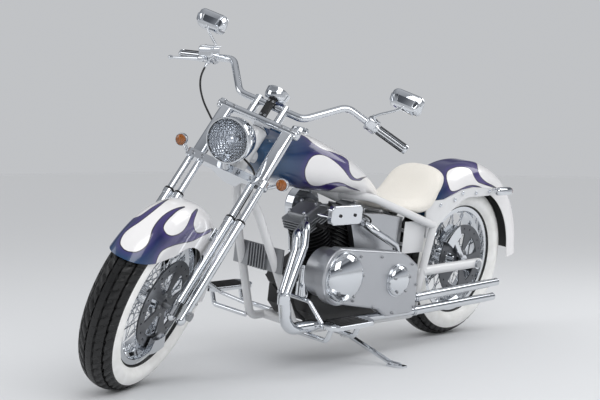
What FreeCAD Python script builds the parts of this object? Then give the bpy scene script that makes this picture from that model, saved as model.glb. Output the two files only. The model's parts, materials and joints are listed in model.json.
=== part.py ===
import FreeCAD, Part
import math
import os
import Sketcher
from FreeCAD import Placement, Rotation, Vector

# A chopper motorcycle, parked on its side stand with the steering against its left stop.
# It is drawn upright and straight ahead: +X forward, +Y left, +Z up, with the origin on the
# floor under the rear axle. Each piece is then turned into the parked attitude by its placement.

os.makedirs("parts", exist_ok=True)
document = FreeCAD.newDocument("chopper")

# Driving dimensions in millimetres, angles in degrees. A place is given by how far it lies
# ahead of the rear axle, to the left of the middle and up from the floor. On the fork it is
# given ahead of, to the left of and along the steering axis.

SIZES = [
    # Attitude and clearances
    ("rake_angle", 36.4),
    ("steer_angle", 25.0),
    ("lean_angle", 8.6),
    ("origin_ahead", 776.2),
    ("origin_left", 117.0),
    ("seat_gap", 0.3),
    ("running_gap", 0.05),
    ("moving_gap", 6.0),
    ("overrun", 10.0),
    # Wheels and brakes
    ("rim_radius", 217.0),
    ("bead_radius", 203.0),
    ("well_radius", 190.0),
    ("rim_wall", 3.0),
    ("front_rim_width", 80.0),
    ("rear_rim_width", 92.0),
    ("front_tyre_height", 101.0),
    ("front_tyre_width", 136.0),
    ("rear_tyre_height", 108.0),
    ("rear_tyre_width", 148.0),
    ("hub_radius", 27.0),
    ("hub_flange_radius", 46.0),
    ("hub_flange_wall", 5.0),
    ("hub_flange_spread", 60.0),
    ("front_hub_width", 108.0),
    ("rear_hub_width", 130.0),
    ("spoke_radius", 1.8),
    ("spoke_head_inset", 5.0),
    ("lace_angle", 44.0),
    ("axle_radius", 10.0),
    ("axle_nut_radius", 15.0),
    ("axle_nut_height", 9.0),
    ("disc_radius", 146.0),
    ("disc_wall", 5.0),
    ("disc_ring_width", 34.0),
    ("disc_bore", 17.0),
    ("disc_hole_radius", 4.0),
    ("caliper_depth", 42.0),
    ("caliper_cheek", 18.0),
    ("caliper_arc", 34.0),
    ("front_caliper_angle", 128.0),
    ("rear_caliper_angle", 48.0),
    ("pulley_radius", 115.0),
    ("pulley_width", 27.0),
    ("pulley_rim_wall", 8.0),
    ("pulley_boss_radius", 38.0),
    ("front_pulley_radius", 45.0),
    ("belt_wall", 6.0),
    ("belt_width", 24.0),
    ("belt_right", 93.5),
    # Steering head and fork
    ("head_ahead", 1260.0),
    ("head_up", 766.1),
    ("head_radius", 30.0),
    ("bearing_gap", 1.0),
    ("stem_radius", 15.0),
    ("stem_nut_radius", 19.0),
    ("stem_nut_height", 9.0),
    ("fork_offset", 56.0),
    ("lower_clamp_along", 494.0),
    ("upper_clamp_along", 702.0),
    ("clamp_thickness", 26.0),
    ("clamp_edge", 8.0),
    ("tube_inner_left", 99.0),
    ("tube_outer_left", 136.0),
    ("tube_proud", 16.0),
    ("tube_grip", 40.0),
    ("fork_tube_radius", 11.5),
    ("slider_radius", 15.5),
    ("slider_collar_radius", 17.5),
    ("slider_collar_height", 16.0),
    ("slider_top", 346.0),
    ("slider_foot", -24.0),
    # Lamp, bar and controls
    ("headlamp_radius", 76.0),
    ("headlamp_depth", 112.0),
    ("headlamp_rim", 14.0),
    ("headlamp_wall", 6.0),
    ("headlamp_ahead", 175.0),
    ("headlamp_along", 545.0),
    ("lamp_arm_radius", 14.0),
    ("signal_radius", 22.0),
    ("signal_left", 193.0),
    ("signal_ahead", 60.0),
    ("signal_along", 524.0),
    ("signal_arm_radius", 7.0),
    ("bar_radius", 12.7),
    ("bar_bend_radius", 48.0),
    ("bar_ahead", 25.0),
    ("bar_along", 779.0),
    ("bar_centre_left", 124.0),
    ("bar_rise_ahead", -8.0),
    ("bar_rise_left", 224.0),
    ("bar_rise_along", 899.0),
    ("bar_end_ahead", -100.0),
    ("bar_end_left", 450.0),
    ("bar_end_along", 882.0),
    ("riser_left", 52.0),
    ("riser_radius", 15.0),
    ("grip_radius", 17.0),
    ("grip_length", 122.0),
    ("grip_cap", 4.0),
    ("control_radius", 22.0),
    ("control_length", 40.0),
    ("reservoir_length", 52.0),
    ("reservoir_width", 34.0),
    ("reservoir_height", 26.0),
    ("lever_radius", 5.0),
    ("lever_reach", 62.0),
    ("lever_length", 150.0),
    ("dial_radius", 38.0),
    ("dial_depth", 38.0),
    ("dial_along", 797.0),
    ("dial_stay_ahead", 42.0),
    ("dial_stay_wall", 5.0),
    ("dial_stay_width", 30.0),
    ("mirror_left", 388.0),
    ("mirror_ahead", -38.0),
    ("mirror_along", 1018.0),
    ("mirror_half_width", 60.0),
    ("mirror_half_height", 34.0),
    ("mirror_depth", 34.0),
    ("mirror_stalk_radius", 4.0),
    ("hose_radius", 3.5),
    # Fenders
    ("fender_wall", 3.0),
    ("front_fender_radius", 328.0),
    ("front_fender_ahead", 2.0),
    ("front_fender_half_width", 76.6),
    ("front_fender_shoulder", 68.0),
    ("front_fender_depth", 128.0),
    ("front_fender_skirt", 188.0),
    ("front_fender_start", 26.0),
    ("front_fender_sweep", 164.0),
    ("fender_lug_along", 250.0),
    ("fender_lug_height", 44.0),
    ("rear_fender_radius", 405.0),
    ("rear_fender_half_width", 102.0),
    ("rear_fender_shoulder", 76.0),
    ("rear_fender_depth", 112.0),
    ("rear_fender_start", 31.0),
    ("rear_fender_sweep", 137.0),
    ("rear_fender_tail", 66.0),
    ("strut_wall", 7.0),
    ("strut_length", 480.0),
    ("strut_height", 220.0),
    ("strut_rear_ahead", -139.0),
    ("strut_low_up", 414.0),
    ("strut_boss_radius", 11.0),
    ("rear_signal_ahead", -112.0),
    ("rear_signal_up", 622.0),
    ("rear_signal_left", 158.0),
    ("rear_signal_radius", 17.0),
    ("rear_signal_length", 92.0),
    ("tail_lamp_half_width", 62.0),
    ("tail_lamp_height", 34.0),
    ("tail_lamp_proud", 16.0),
    ("tail_lamp_angle", 152.0),
    # Frame
    ("frame_tube_radius", 15.0),
    ("frame_bend_radius", 60.0),
    ("backbone_radius", 22.0),
    ("backbone_end_ahead", 760.0),
    ("backbone_end_up", 605.0),
    ("rail_join_ahead", 772.0),
    ("rail_join_up", 610.0),
    ("rail_front_ahead", 700.0),
    ("rail_front_left", 116.0),
    ("rail_front_up", 616.0),
    ("rail_rear_ahead", 318.0),
    ("rail_rear_left", 138.0),
    ("rail_rear_up", 497.0),
    ("down_head_along", 543.0),
    ("down_bend_ahead", 1216.0),
    ("down_bend_left", 57.0),
    ("down_bend_up", 550.0),
    ("cradle_front_ahead", 1032.0),
    ("cradle_front_left", 112.0),
    ("cradle_up", 152.0),
    ("cradle_rear_ahead", 381.0),
    ("cradle_rear_left", 136.0),
    ("post_foot_up", 215.0),
    ("front_cross_ahead", 958.0),
    ("rear_cross_ahead", 640.0),
    ("pivot_ahead", 364.0),
    ("pivot_up", 318.0),
    ("swingarm_radius", 19.0),
    ("swingarm_left", 136.0),
    ("swingarm_tail", 30.0),
    # Tank and seat
    ("tank_length", 666.0),
    ("tank_height", 262.0),
    ("tank_half_width", 156.0),
    ("tank_behind_head", 38.0),
    ("tank_low_up", 580.0),
    ("cap_behind_head", 260.0),
    ("cap_radius", 30.0),
    ("cap_height", 14.0),
    ("seat_length", 360.0),
    ("seat_height", 186.0),
    ("seat_half_width", 146.0),
    ("seat_rear_ahead", 200.0),
    ("seat_low_up", 532.0),
    # Engine
    ("crank_ahead", 800.0),
    ("crank_up", 300.0),
    ("vee_angle", 27.0),
    ("barrel_foot", 118.0),
    ("barrel_length", 112.0),
    ("barrel_radius", 55.0),
    ("fin_radius", 72.0),
    ("fin_wall", 4.0),
    ("deck_half", 62.0),
    ("vee_gap", 2.0),
    ("head_block_half", 56.0),
    ("head_block_height", 44.0),
    ("head_fin_half", 64.0),
    ("head_corner", 16.0),
    ("rocker_half", 46.0),
    ("rocker_height", 24.0),
    ("rocker_corner", 9.0),
    ("case_left", 125.0),
    ("case_right", 78.0),
    ("case_front_ahead", 985.0),
    ("case_rear_ahead", 560.0),
    ("case_rear_up", 372.0),
    ("case_nose_up", 332.0),
    ("case_corner", 46.0),
    ("timing_radius", 92.0),
    ("timing_depth", 38.0),
    ("timing_corner", 10.0),
    ("intake_up", 548.0),
    ("intake_radius", 18.0),
    ("manifold_radius", 14.0),
    ("cleaner_radius", 74.0),
    ("cleaner_depth", 42.0),
    ("cleaner_right", 108.0),
    ("filter_radius", 28.0),
    ("filter_length", 116.0),
    ("filter_left", 32.0),
    ("filter_up", 338.0),
    ("filter_corner", 7.0),
    ("starter_radius", 24.0),
    ("starter_left", 100.0),
    ("starter_low_up", 262.0),
    ("starter_height", 112.0),
    ("starter_cap", 12.0),
    ("regulator_ahead", 1142.0),
    ("regulator_up", 405.0),
    ("regulator_wall", 8.0),
    ("regulator_height", 84.0),
    ("regulator_fin_depth", 16.0),
    # Drive cover
    ("cover_back_left", 185.0),
    ("cover_face_left", 227.0),
    ("cover_nose_radius", 103.0),
    ("cover_edge", 9.0),
    ("cover_case_radius", 88.0),
    ("front_dome_ahead", 947.0),
    ("front_dome_up", 363.0),
    ("front_dome_radius", 92.0),
    ("front_dome_height", 40.0),
    ("rear_dome_ahead", 632.0),
    ("rear_dome_up", 326.0),
    ("rear_dome_radius", 62.0),
    ("rear_dome_height", 26.0),
    ("dome_lip", 5.0),
    # Side covers and oil tank
    ("coil_cover_ahead", 779.0),
    ("coil_cover_length", 168.0),
    ("coil_cover_up", 526.0),
    ("coil_cover_height", 70.0),
    ("coil_cover_left", 128.0),
    ("coil_cover_depth", 20.0),
    ("coil_cover_corner", 18.0),
    ("coil_stud_radius", 8.0),
    ("oil_tank_radius", 104.0),
    ("oil_tank_arm_wall", 24.0),
    ("oil_tank_ahead", 512.0),
    ("oil_tank_low_up", 400.0),
    ("oil_tank_arm_ahead", 800.0),
    ("oil_tank_high_up", 560.0),
    ("panel_rear_ahead", 345.0),
    ("panel_length", 103.0),
    ("panel_low_up", 390.0),
    ("panel_height", 114.0),
    ("panel_left", 108.0),
    ("panel_wall", 6.0),
    ("panel_stud_radius", 7.0),
    # Exhaust
    ("header_radius", 14.0),
    ("header_bend", 42.0),
    ("collector_radius", 21.0),
    ("collector_bend", 52.0),
    ("muffler_radius", 17.0),
    ("muffler_tail_radius", 16.0),
    ("muffler_tail_length", 60.0),
    ("muffler_bore", 13.0),
    ("muffler_mouth", 90.0),
    ("muffler_left", 195.0),
    ("muffler_front_ahead", 470.0),
    ("muffler_grip", 24.0),
    ("upper_muffler_up", 238.0),
    ("upper_muffler_end_up", 252.0),
    ("upper_muffler_end_ahead", -94.0),
    ("lower_muffler_up", 186.0),
    ("lower_muffler_end_up", 192.0),
    ("lower_muffler_end_ahead", -78.0),
    ("link_pipe_radius", 14.6),
    # Boards, pedal and stand
    ("board_ahead", 982.0),
    ("board_left", 296.0),
    ("board_up", 212.0),
    ("board_half_length", 122.0),
    ("board_half_width", 44.0),
    ("board_wall", 15.0),
    ("board_arm_radius", 9.0),
    ("board_arm_spread", 74.0),
    ("board_arm_rise", 8.0),
    ("board_stay_radius", 7.0),
    ("pedal_left", 282.0),
    ("pedal_ahead", 1106.0),
    ("pedal_up", 262.0),
    ("pedal_length", 64.0),
    ("pedal_width", 46.0),
    ("pedal_wall", 10.0),
    ("pedal_arm_radius", 7.0),
    ("stand_pivot_ahead", 770.0),
    ("stand_pivot_left", 128.0),
    ("stand_pivot_up", 118.0),
    ("stand_pin_radius", 6.0),
    ("stand_eye_radius", 13.0),
    ("stand_eye_width", 14.0),
    ("stand_cheek_wall", 6.0),
    ("stand_leg_radius", 9.0),
    ("stand_foot_ahead", 782.0),
    ("stand_foot_left", 386.0),
    ("stand_foot_length", 76.0),
    ("stand_foot_width", 42.0),
    ("stand_foot_wall", 7.0),
]


class Size(float):
    """A length that knows its spreadsheet formula, so that a feature can be bound to it."""

    def __new__(cls, value, formula):
        size = super().__new__(cls, value)
        size.formula = formula
        return size

    def __add__(self, other):
        return joined(self, "+", other, float(self) + float(other))

    def __radd__(self, other):
        return joined(other, "+", self, float(other) + float(self))

    def __sub__(self, other):
        return joined(self, "-", other, float(self) - float(other))

    def __rsub__(self, other):
        return joined(other, "-", self, float(other) - float(self))

    def __mul__(self, other):
        return joined(self, "*", other, float(self) * float(other))

    def __rmul__(self, other):
        return joined(other, "*", self, float(other) * float(self))

    def __truediv__(self, other):
        return joined(self, "/", other, float(self) / float(other))

    def __neg__(self):
        return joined(0.0, "-", self, -float(self))


def formula_of(number):
    return number.formula if isinstance(number, Size) else repr(float(number))


def joined(first, sign, second, value):
    return Size(value, f"({formula_of(first)} {sign} {formula_of(second)})")


class Sizes:
    """The spreadsheet of driving dimensions, read as attributes."""

    def __init__(self, rows):
        self.sheet = document.addObject("Spreadsheet::Sheet", "sizes")
        for row, (alias, value) in enumerate(rows, start=1):
            self.sheet.set(f"A{row}", alias)
            self.sheet.set(f"B{row}", str(value))
            self.sheet.setAlias(f"B{row}", alias)
        document.recompute()

    def __getattr__(self, alias):
        return Size(self.sheet.get(alias), f"sizes.{alias}")


d = Sizes(SIZES)
X = Vector(1, 0, 0)
Y = Vector(0, 1, 0)
Z = Vector(0, 0, 1)
SIDES = (1, -1)
nodes = []

front_tyre_radius = d.rim_radius + d.front_tyre_height
rear_tyre_radius = d.rim_radius + d.rear_tyre_height

# The parked attitude: leaned to the left until the stand's foot is down, both tyres on the floor


def turn(axis, degrees, centre=Vector()):
    return Placement(Vector(), Rotation(axis, degrees), centre)


def steering_frame():
    """Local +Z up the steering axis, +X ahead of it, with zero level with the front axle."""
    slope = math.radians(d.rake_angle)
    middle = (d.lower_clamp_along + d.upper_clamp_along) / 2
    foot = Vector(d.head_ahead + middle * math.sin(slope), 0,
                  d.head_up - middle * math.cos(slope))
    return Placement(foot, Rotation(Y, -float(d.rake_angle)))


def contact_height(attitude, wheel_frame, radius, width):
    """How high the lowest point of a round tyre lies above the attitude's origin."""
    centre = attitude.multVec(wheel_frame.Base)
    axle = attitude.Rotation.multVec(wheel_frame.Rotation.multVec(Y))
    crown = width / 2
    return centre.z - (radius - crown) * math.sqrt(1 - axle.z ** 2) - crown


def parked_attitude():
    """Pitch found by halving, so that both leaned tyres touch one floor."""
    lean = Placement(Vector(), Rotation(X, -float(d.lean_angle)))
    rear = Placement(Vector(0, 0, rear_tyre_radius), Rotation())
    front = steering * turn(Z, d.steer_angle) * Placement(Vector(d.fork_offset, 0, 0), Rotation())
    low, high = -5.0, 5.0
    for step in range(50):
        pitch = (low + high) / 2
        attitude = turn(Y, pitch) * lean
        rear_reach = contact_height(attitude, rear, rear_tyre_radius, d.rear_tyre_width)
        front_reach = contact_height(attitude, front, front_tyre_radius, d.front_tyre_width)
        if front_reach > rear_reach:
            low = pitch
        else:
            high = pitch
    raised = Placement(Vector(-d.origin_ahead, -d.origin_left, -rear_reach), Rotation())
    return raised * attitude


steering = steering_frame()
parked = parked_attitude()
steered = parked * steering * turn(Z, d.steer_angle) * steering.inverse()
on_fork = steered * steering
front_axle_point = steering.multVec(Vector(d.fork_offset, 0, 0))


def at(x=0.0, y=0.0, z=0.0, axis=Z, degrees=0.0):
    return Placement(Vector(x, y, z), Rotation(axis, degrees))


def wheel_place(x, z):
    """A body's local Z laid along +Y at a wheel's centre."""
    return Placement(Vector(x, 0, z), Rotation(X, -90))


# Modelling helpers


def bind(feature, name, value):
    if isinstance(value, Size):
        feature.setExpression(name, value.formula)
    else:
        setattr(feature, name, value)


def keep(label, feature, pose):
    """Makes a finished feature a node of the part, turned into the parked attitude."""
    feature.Label = label
    feature.Placement = pose * feature.Placement
    nodes.append(feature)
    return feature


def shaped(label, shape, pose):
    """A node whose shape is worked out in code, upright, and then placed."""
    feature = document.addObject("Part::Feature", label)
    feature.Shape = shape
    return keep(label, feature, pose)


def new_body(label):
    body = document.addObject("PartDesign::Body", label)
    body.AllowCompound = True
    return body


def origin_item(body, role):
    return next(item for item in body.Origin.OriginFeatures if item.Role == role)


def sketch_on(body, role, height=0.0):
    sketch = body.newObject("Sketcher::SketchObject", body.Label + "_sketch")
    sketch.AttachmentSupport = (origin_item(body, role), [""])
    sketch.MapMode = "FlatFace"
    if height:
        sketch.AttachmentOffset = Placement(Vector(0, 0, height), Rotation())
    return sketch


def pin_point(sketch, edge, end, point):
    """Ties one end of a sketch edge to its two sizes."""
    kinds = (("DistanceX", -2, point[0]), ("DistanceY", -1, point[1]))
    for kind, axis, value in kinds:
        if abs(value) < 1e-9:
            sketch.addConstraint(Sketcher.Constraint("PointOnObject", edge, end, axis))
            continue
        number = sketch.addConstraint(Sketcher.Constraint(kind, -1, 1, edge, end, float(value)))
        if isinstance(value, Size):
            sketch.setExpression(f"Constraints[{number}]", value.formula)


def outline(body, role, points, height=0.0):
    """A closed outline. A point is (x, y); a point written (x, y, (mid_x, mid_y)) is reached
    by an arc through its middle point."""
    sketch = sketch_on(body, role, height)
    count = len(points)
    edges = []
    for index in range(count):
        start = points[index]
        end = points[(index + 1) % count]
        first = Vector(start[0], start[1], 0)
        last = Vector(end[0], end[1], 0)
        if len(end) == 3:
            arc = Part.Arc(first, Vector(end[2][0], end[2][1], 0), last)
            number = sketch.addGeometry(arc, False)
            turned_back = sketch.getPoint(number, 1).distanceToPoint(first) > 1e-6
            edges.append((number, 2, 1) if turned_back else (number, 1, 2))
        else:
            edges.append((sketch.addGeometry(Part.LineSegment(first, last), False), 1, 2))
    for index in range(count):
        number, start_end, last_end = edges[index]
        following, next_start, next_last = edges[(index + 1) % count]
        sketch.addConstraint(Sketcher.Constraint("Coincident", number, last_end,
                                                 following, next_start))
        pin_point(sketch, number, start_end, points[index])
    return sketch


def circle_sketch(body, role, centre, radius, height=0.0):
    sketch = sketch_on(body, role, height)
    number = sketch.addGeometry(Part.Circle(Vector(centre[0], centre[1], 0), Z, radius), False)
    pin_point(sketch, number, 3, centre)
    rule = sketch.addConstraint(Sketcher.Constraint("Radius", number, float(radius)))
    if isinstance(radius, Size):
        sketch.setExpression(f"Constraints[{rule}]", radius.formula)
    return sketch


def pad(body, sketch, length):
    feature = body.newObject("PartDesign::Pad", "pad")
    feature.Profile = sketch
    bind(feature, "Length", length)
    return feature


def pocket(body, sketch):
    """Cuts from the sketch down through everything below it."""
    feature = body.newObject("PartDesign::Pocket", "pocket")
    feature.Profile = sketch
    feature.Type = "ThroughAll"
    return feature


def around(body, feature, count):
    """Repeats a cut about the body's Z axis."""
    pattern = body.newObject("PartDesign::PolarPattern", "around")
    pattern.Originals = [feature]
    pattern.Axis = (origin_item(body, "Z_Axis"), [""])
    pattern.Angle = 360.0
    pattern.Occurrences = count
    body.Tip = pattern


def turned_body(label, points):
    """A body turned about its local Z from points (radius, height)."""
    body = new_body(label)
    feature = body.newObject("PartDesign::Revolution", "turned")
    feature.Profile = outline(body, "XZ_Plane", points)
    feature.ReferenceAxis = (origin_item(body, "Z_Axis"), [""])
    feature.Angle = 360.0
    return body


def turned(label, points, place, pose):
    body = turned_body(label, points)
    body.Placement = place
    return keep(label, body, pose)


def crown(radius, low, high):
    """The top of a shallow dome, reached by an arc whose centre is on the axis."""
    rise = high - low
    ball = (float(radius) ** 2 + float(rise) ** 2) / (2 * float(rise))
    halfway = radius / 2
    return (0, high, (halfway, high - ball + math.sqrt(ball ** 2 - float(halfway) ** 2)))


def cylinder(label, radius, length, place):
    feature = document.addObject("Part::Cylinder", label)
    bind(feature, "Radius", radius)
    bind(feature, "Height", length)
    feature.Placement = place
    return feature


def group(label, features, pose):
    """Pieces of one node that do not touch."""
    feature = document.addObject("Part::Compound", label)
    feature.Links = features
    return keep(label, feature, pose)


def finished_shape(feature):
    """The shape that a parametric feature has once it is worked out."""
    document.recompute()
    return feature.Shape.copy()


def rounded_path(points, bend):
    """Straight runs joined by tangent arcs of one bend radius, less where a run is short."""
    edges = []
    start = points[0]
    run_share = 0.49
    for index in range(1, len(points) - 1):
        corner = points[index]
        back = (points[index - 1] - corner).normalize()
        onward = (points[index + 1] - corner).normalize()
        half = back.getAngle(onward) / 2
        run = min(bend / math.tan(half),
                  run_share * corner.distanceToPoint(points[index - 1]),
                  run_share * corner.distanceToPoint(points[index + 1]))
        enter = corner + back * run
        leave = corner + onward * run
        centre = corner + (back + onward).normalize() * (run / math.cos(half))
        middle = centre + (corner - centre).normalize() * (run * math.tan(half))
        edges.append(Part.LineSegment(start, enter).toShape())
        edges.append(Part.Arc(enter, middle, leave).toShape())
        start = leave
    edges.append(Part.LineSegment(start, points[-1]).toShape())
    return Part.Wire(edges)


def bent_tube(points, bend, radius):
    """A round bar or closed pipe along a bent path."""
    path = rounded_path(points, bend)
    normal = (points[1] - points[0]).normalize()
    ring = Part.Wire(Part.Circle(points[0], normal, radius).toShape())
    return path.makePipeShell([ring], True, False)


def bar(first, last, radius):
    return Part.makeCylinder(radius, first.distanceToPoint(last), first, last - first)


def block(low, high):
    """A box between two corners."""
    return Part.makeBox(high.x - low.x, high.y - low.y, high.z - low.z, low)


def biggest(shape):
    """The largest solid that a cut leaves."""
    return max(shape.Solids, key=lambda solid: solid.Volume)


def mirrored(shape):
    """The same shape on the other side of the machine."""
    return shape.mirror(Vector(), Y)


def both_sides(shape):
    return Part.makeCompound([shape, mirrored(shape)])


def prism(points, left, depth):
    """A plate with a side outline of (ahead, up) points, from left outwards by depth."""
    corners = [Vector(point[0], left, point[1]) for point in points]
    face = Part.Face(Part.makePolygon(corners + corners[:1]))
    return face.extrude(Vector(0, depth, 0))


# Wheels, each turned about its own axle

SIDEWALL_SHARE = 0.93
WELL_SHARE = 0.42
WELL_SLOPE_SHARE = 0.62
SPOKES_PER_SIDE = 30
DISC_HOLES = 20
DISC_WINDOWS = 5
DISC_WINDOW_SHARES = (0.36, 0.98)
DISC_ARM_SHARE = 0.62
PULLEY_WINDOWS = 5
PULLEY_WINDOW_SHARE = 0.7


def tyre(label, radius, width, rim_width, place):
    """A balloon tyre: beads on the rim, full side walls and a round tread."""
    crown = width / 2
    bead = rim_width / 2 - 2 * d.seat_gap
    foot = d.bead_radius + d.seat_gap
    lip = d.rim_radius + 2 * d.seat_gap
    widest = radius - crown
    middle = (lip + widest) / 2
    bulge = crown * SIDEWALL_SHARE
    points = [
        (foot, -bead), (lip, -bead), (widest, -crown, (middle, -bulge)),
        (widest, crown, (radius, 0)), (lip, bead, (middle, bulge)), (foot, bead),
    ]
    return turned_at(label, points, place)


def turned_at(label, points, place):
    wheel, pose = place
    return turned(label, points, wheel, pose)


def rim(label, width, place):
    """A dropped-centre rim of one wall."""
    half = width / 2
    wall = d.rim_wall
    well = half * WELL_SHARE
    slope = half * WELL_SLOPE_SHARE
    right = [
        (d.rim_radius, half + wall), (d.rim_radius, half), (d.bead_radius, half),
        (d.bead_radius, slope), (d.well_radius, well),
    ]
    inside = [
        (d.well_radius - wall, well), (d.bead_radius - wall * 2, slope),
        (d.bead_radius - wall, half + wall),
    ]
    points = [(r, -h) for r, h in right] + [(r, h) for r, h in reversed(right)]
    points += [(r, h) for r, h in reversed(inside)] + [(r, -h) for r, h in inside]
    return turned_at(label, points, place)


def hub_shape(width):
    """The hub's barrel with its two spoke flanges, bored for the axle."""
    half = width / 2
    spread = d.hub_flange_spread / 2
    wall = d.hub_flange_wall
    bore = d.axle_radius + d.running_gap
    profile = [
        (bore, -half), (d.hub_radius, -half), (d.hub_radius, -spread - wall),
        (d.hub_flange_radius, -spread - wall), (d.hub_flange_radius, -spread),
        (d.hub_radius, -spread), (d.hub_radius, spread), (d.hub_flange_radius, spread),
        (d.hub_flange_radius, spread + wall), (d.hub_radius, spread + wall),
        (d.hub_radius, half), (bore, half),
    ]
    wire = Part.makePolygon([Vector(r, 0, h) for r, h in profile + profile[:1]])
    return Part.Face(wire).revolve(Vector(), Z, 360)


def spokes():
    """Crossed wire spokes from the hub's flanges to the rim's well, two rows a side."""
    bars = []
    reach = d.well_radius - d.rim_wall - 4 * d.seat_gap
    root = d.hub_flange_radius - d.spoke_head_inset
    pitch = 360.0 / SPOKES_PER_SIDE
    for side in SIDES:
        for index in range(SPOKES_PER_SIDE):
            lean = 1 if index % 2 else -1
            start = math.radians(pitch * (index + side / 4))
            end = start + math.radians(d.lace_angle) * lean
            row = side * (d.hub_flange_spread / 2 + d.hub_flange_wall / 2 + lean * d.spoke_radius)
            first = Vector(root * math.cos(start), root * math.sin(start), row)
            foot = side * (d.spoke_radius * 3)
            last = Vector(reach * math.cos(end), reach * math.sin(end), foot)
            bars.append(bar(first, last, d.spoke_radius))
    return bars


def hub(label, width, place):
    feature = document.addObject("Part::Feature", label)
    feature.Shape = hub_shape(width).multiFuse(spokes())
    feature.Placement = place[0]
    return keep(label, feature, place[1])


def ring_window(inner, outer, half_angle):
    """The outline of one opening between two radii."""
    low, high = -math.radians(half_angle), math.radians(half_angle)
    return [
        (inner * math.cos(low), inner * math.sin(low)),
        (outer * math.cos(low), outer * math.sin(low)),
        (outer * math.cos(high), outer * math.sin(high), (outer, 0.0)),
        (inner * math.cos(high), inner * math.sin(high)),
        ]


def disc(label, hub_width, place):
    """A brake disc on the hub's left end: a drilled ring on a spider with open windows."""
    body = new_body(label)
    base = hub_width / 2 + d.seat_gap
    top = base + 2 * d.disc_wall
    pad(body, circle_sketch(body, "XY_Plane", (0.0, 0.0), d.disc_radius, base), d.disc_wall)
    pocket(body, circle_sketch(body, "XY_Plane", (0.0, 0.0), d.disc_bore, top))
    inner_share, outer_share = DISC_WINDOW_SHARES
    web = d.disc_radius - d.disc_ring_width
    half_angle = 180.0 / DISC_WINDOWS * DISC_ARM_SHARE
    window = ring_window(web * inner_share + d.hub_radius / 4, web * outer_share, half_angle)
    around(body, pocket(body, outline(body, "XY_Plane", window, top)), DISC_WINDOWS)
    middle = d.disc_radius - d.disc_ring_width / 2
    hole = circle_sketch(body, "XY_Plane", (middle, 0.0), d.disc_hole_radius, top)
    around(body, pocket(body, hole), DISC_HOLES)
    body.Placement = place[0]
    return keep(label, body, place[1])


def pulley_profile(hub_end):
    """The rear belt pulley's boss, web and rim, to the right of the hub."""
    bore = d.axle_radius + d.running_gap
    boss = d.pulley_boss_radius
    inner = d.pulley_radius - d.pulley_rim_wall
    half = d.pulley_width / 2
    web = d.pulley_rim_wall / 2
    centre = d.belt_right
    points = [
        (bore, hub_end), (boss, hub_end), (boss, centre - web), (inner, centre - web),
        (inner, centre - half), (d.pulley_radius, centre - half),
        (d.pulley_radius, centre + half), (inner, centre + half), (inner, centre + web),
        (boss, centre + web), (boss, centre + half), (bore, centre + half),
    ]
    return [(r, -h) for r, h in points]


front_wheel = (wheel_place(front_axle_point.x, front_axle_point.z), steered)
rear_wheel = (wheel_place(0, rear_tyre_radius), parked)

tyre("front_tyre", front_tyre_radius, d.front_tyre_width, d.front_rim_width, front_wheel)
rim("front_rim", d.front_rim_width, front_wheel)
hub("front_hub", d.front_hub_width, front_wheel)
disc("front_disc", d.front_hub_width, front_wheel)
tyre("rear_tyre", rear_tyre_radius, d.rear_tyre_width, d.rear_rim_width, rear_wheel)
rim("rear_rim", d.rear_rim_width, rear_wheel)
hub("rear_hub", d.rear_hub_width, rear_wheel)
disc("rear_disc", d.rear_hub_width, rear_wheel)

pulley = turned_body("rear_pulley", pulley_profile(d.rear_hub_width / 2 + d.seat_gap))
pulley_web_middle = (d.pulley_boss_radius + d.pulley_radius - d.pulley_rim_wall) / 2
pulley_web_half = (d.pulley_radius - d.pulley_rim_wall - d.pulley_boss_radius) / 2
around(pulley, pocket(pulley, circle_sketch(
    pulley, "XY_Plane", (pulley_web_middle, 0.0), pulley_web_half * PULLEY_WINDOW_SHARE)),
    PULLEY_WINDOWS)
pulley.Placement = rear_wheel[0]
keep("rear_pulley", pulley, parked)

# Brake calipers: a curved block that straddles the disc's rim


def caliper(hub_half, direction):
    """A caliper about local Z, its middle in the given direction, slotted for the disc."""
    inner = d.disc_radius - d.caliper_depth * 0.75
    outer = d.disc_radius + d.caliper_depth * 0.25 + d.moving_gap
    low = hub_half + d.seat_gap - d.moving_gap - d.caliper_cheek
    high = hub_half + d.seat_gap + d.disc_wall + d.moving_gap + d.caliper_cheek
    corners = [(inner, low), (outer, low), (outer, high), (inner, high)]
    wire = Part.makePolygon([Vector(r, 0, h) for r, h in corners + corners[:1]])
    block_shape = Part.Face(wire).revolve(Vector(), Z, d.caliper_arc)
    block_shape.rotate(Vector(), Z, direction - d.caliper_arc / 2)
    slot = Part.makeCylinder(d.disc_radius + d.moving_gap, d.disc_wall + 2 * d.moving_gap,
                             Vector(0, 0, hub_half + d.seat_gap - d.moving_gap))
    return block_shape.cut(slot), high


# Fork, drawn along the steering axis


def clamp_plate(label, along):
    """A flat plate that holds the four fork tubes, round at its ends and nosed to the stem."""
    edge = d.fork_tube_radius + d.clamp_edge
    front = d.fork_offset + edge
    back = d.fork_offset - edge
    outer = d.tube_outer_left
    nose = d.head_radius
    neck_half = nose * 0.8
    shoulder = d.tube_inner_left - 2 * edge
    body = new_body(label + "_plate")
    points = [
        (front, -outer), (front, outer), (back, outer, (d.fork_offset, outer + edge)),
        (back, shoulder), (-neck_half, neck_half), (-neck_half, -neck_half, (-nose, 0.0)),
        (back, -shoulder), (back, -outer),
    ]
    points[0] = (front, -outer, (d.fork_offset, -outer - edge))
    pad(body, outline(body, "XY_Plane", points, along - d.clamp_thickness / 2), d.clamp_thickness)
    return body


def tube_holes(label, along):
    """The four bores of a clamp."""
    holes = document.addObject("Part::Compound", label)
    holes.Links = [cylinder("hole", d.fork_tube_radius + d.seat_gap, d.clamp_thickness * 2,
                            at(d.fork_offset, side * left, along - d.clamp_thickness))
                   for side, left in tube_spots]
    return holes


def difference(label, base, tool):
    feature = document.addObject("Part::Cut", label)
    feature.Base = base
    feature.Tool = tool
    return feature


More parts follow.
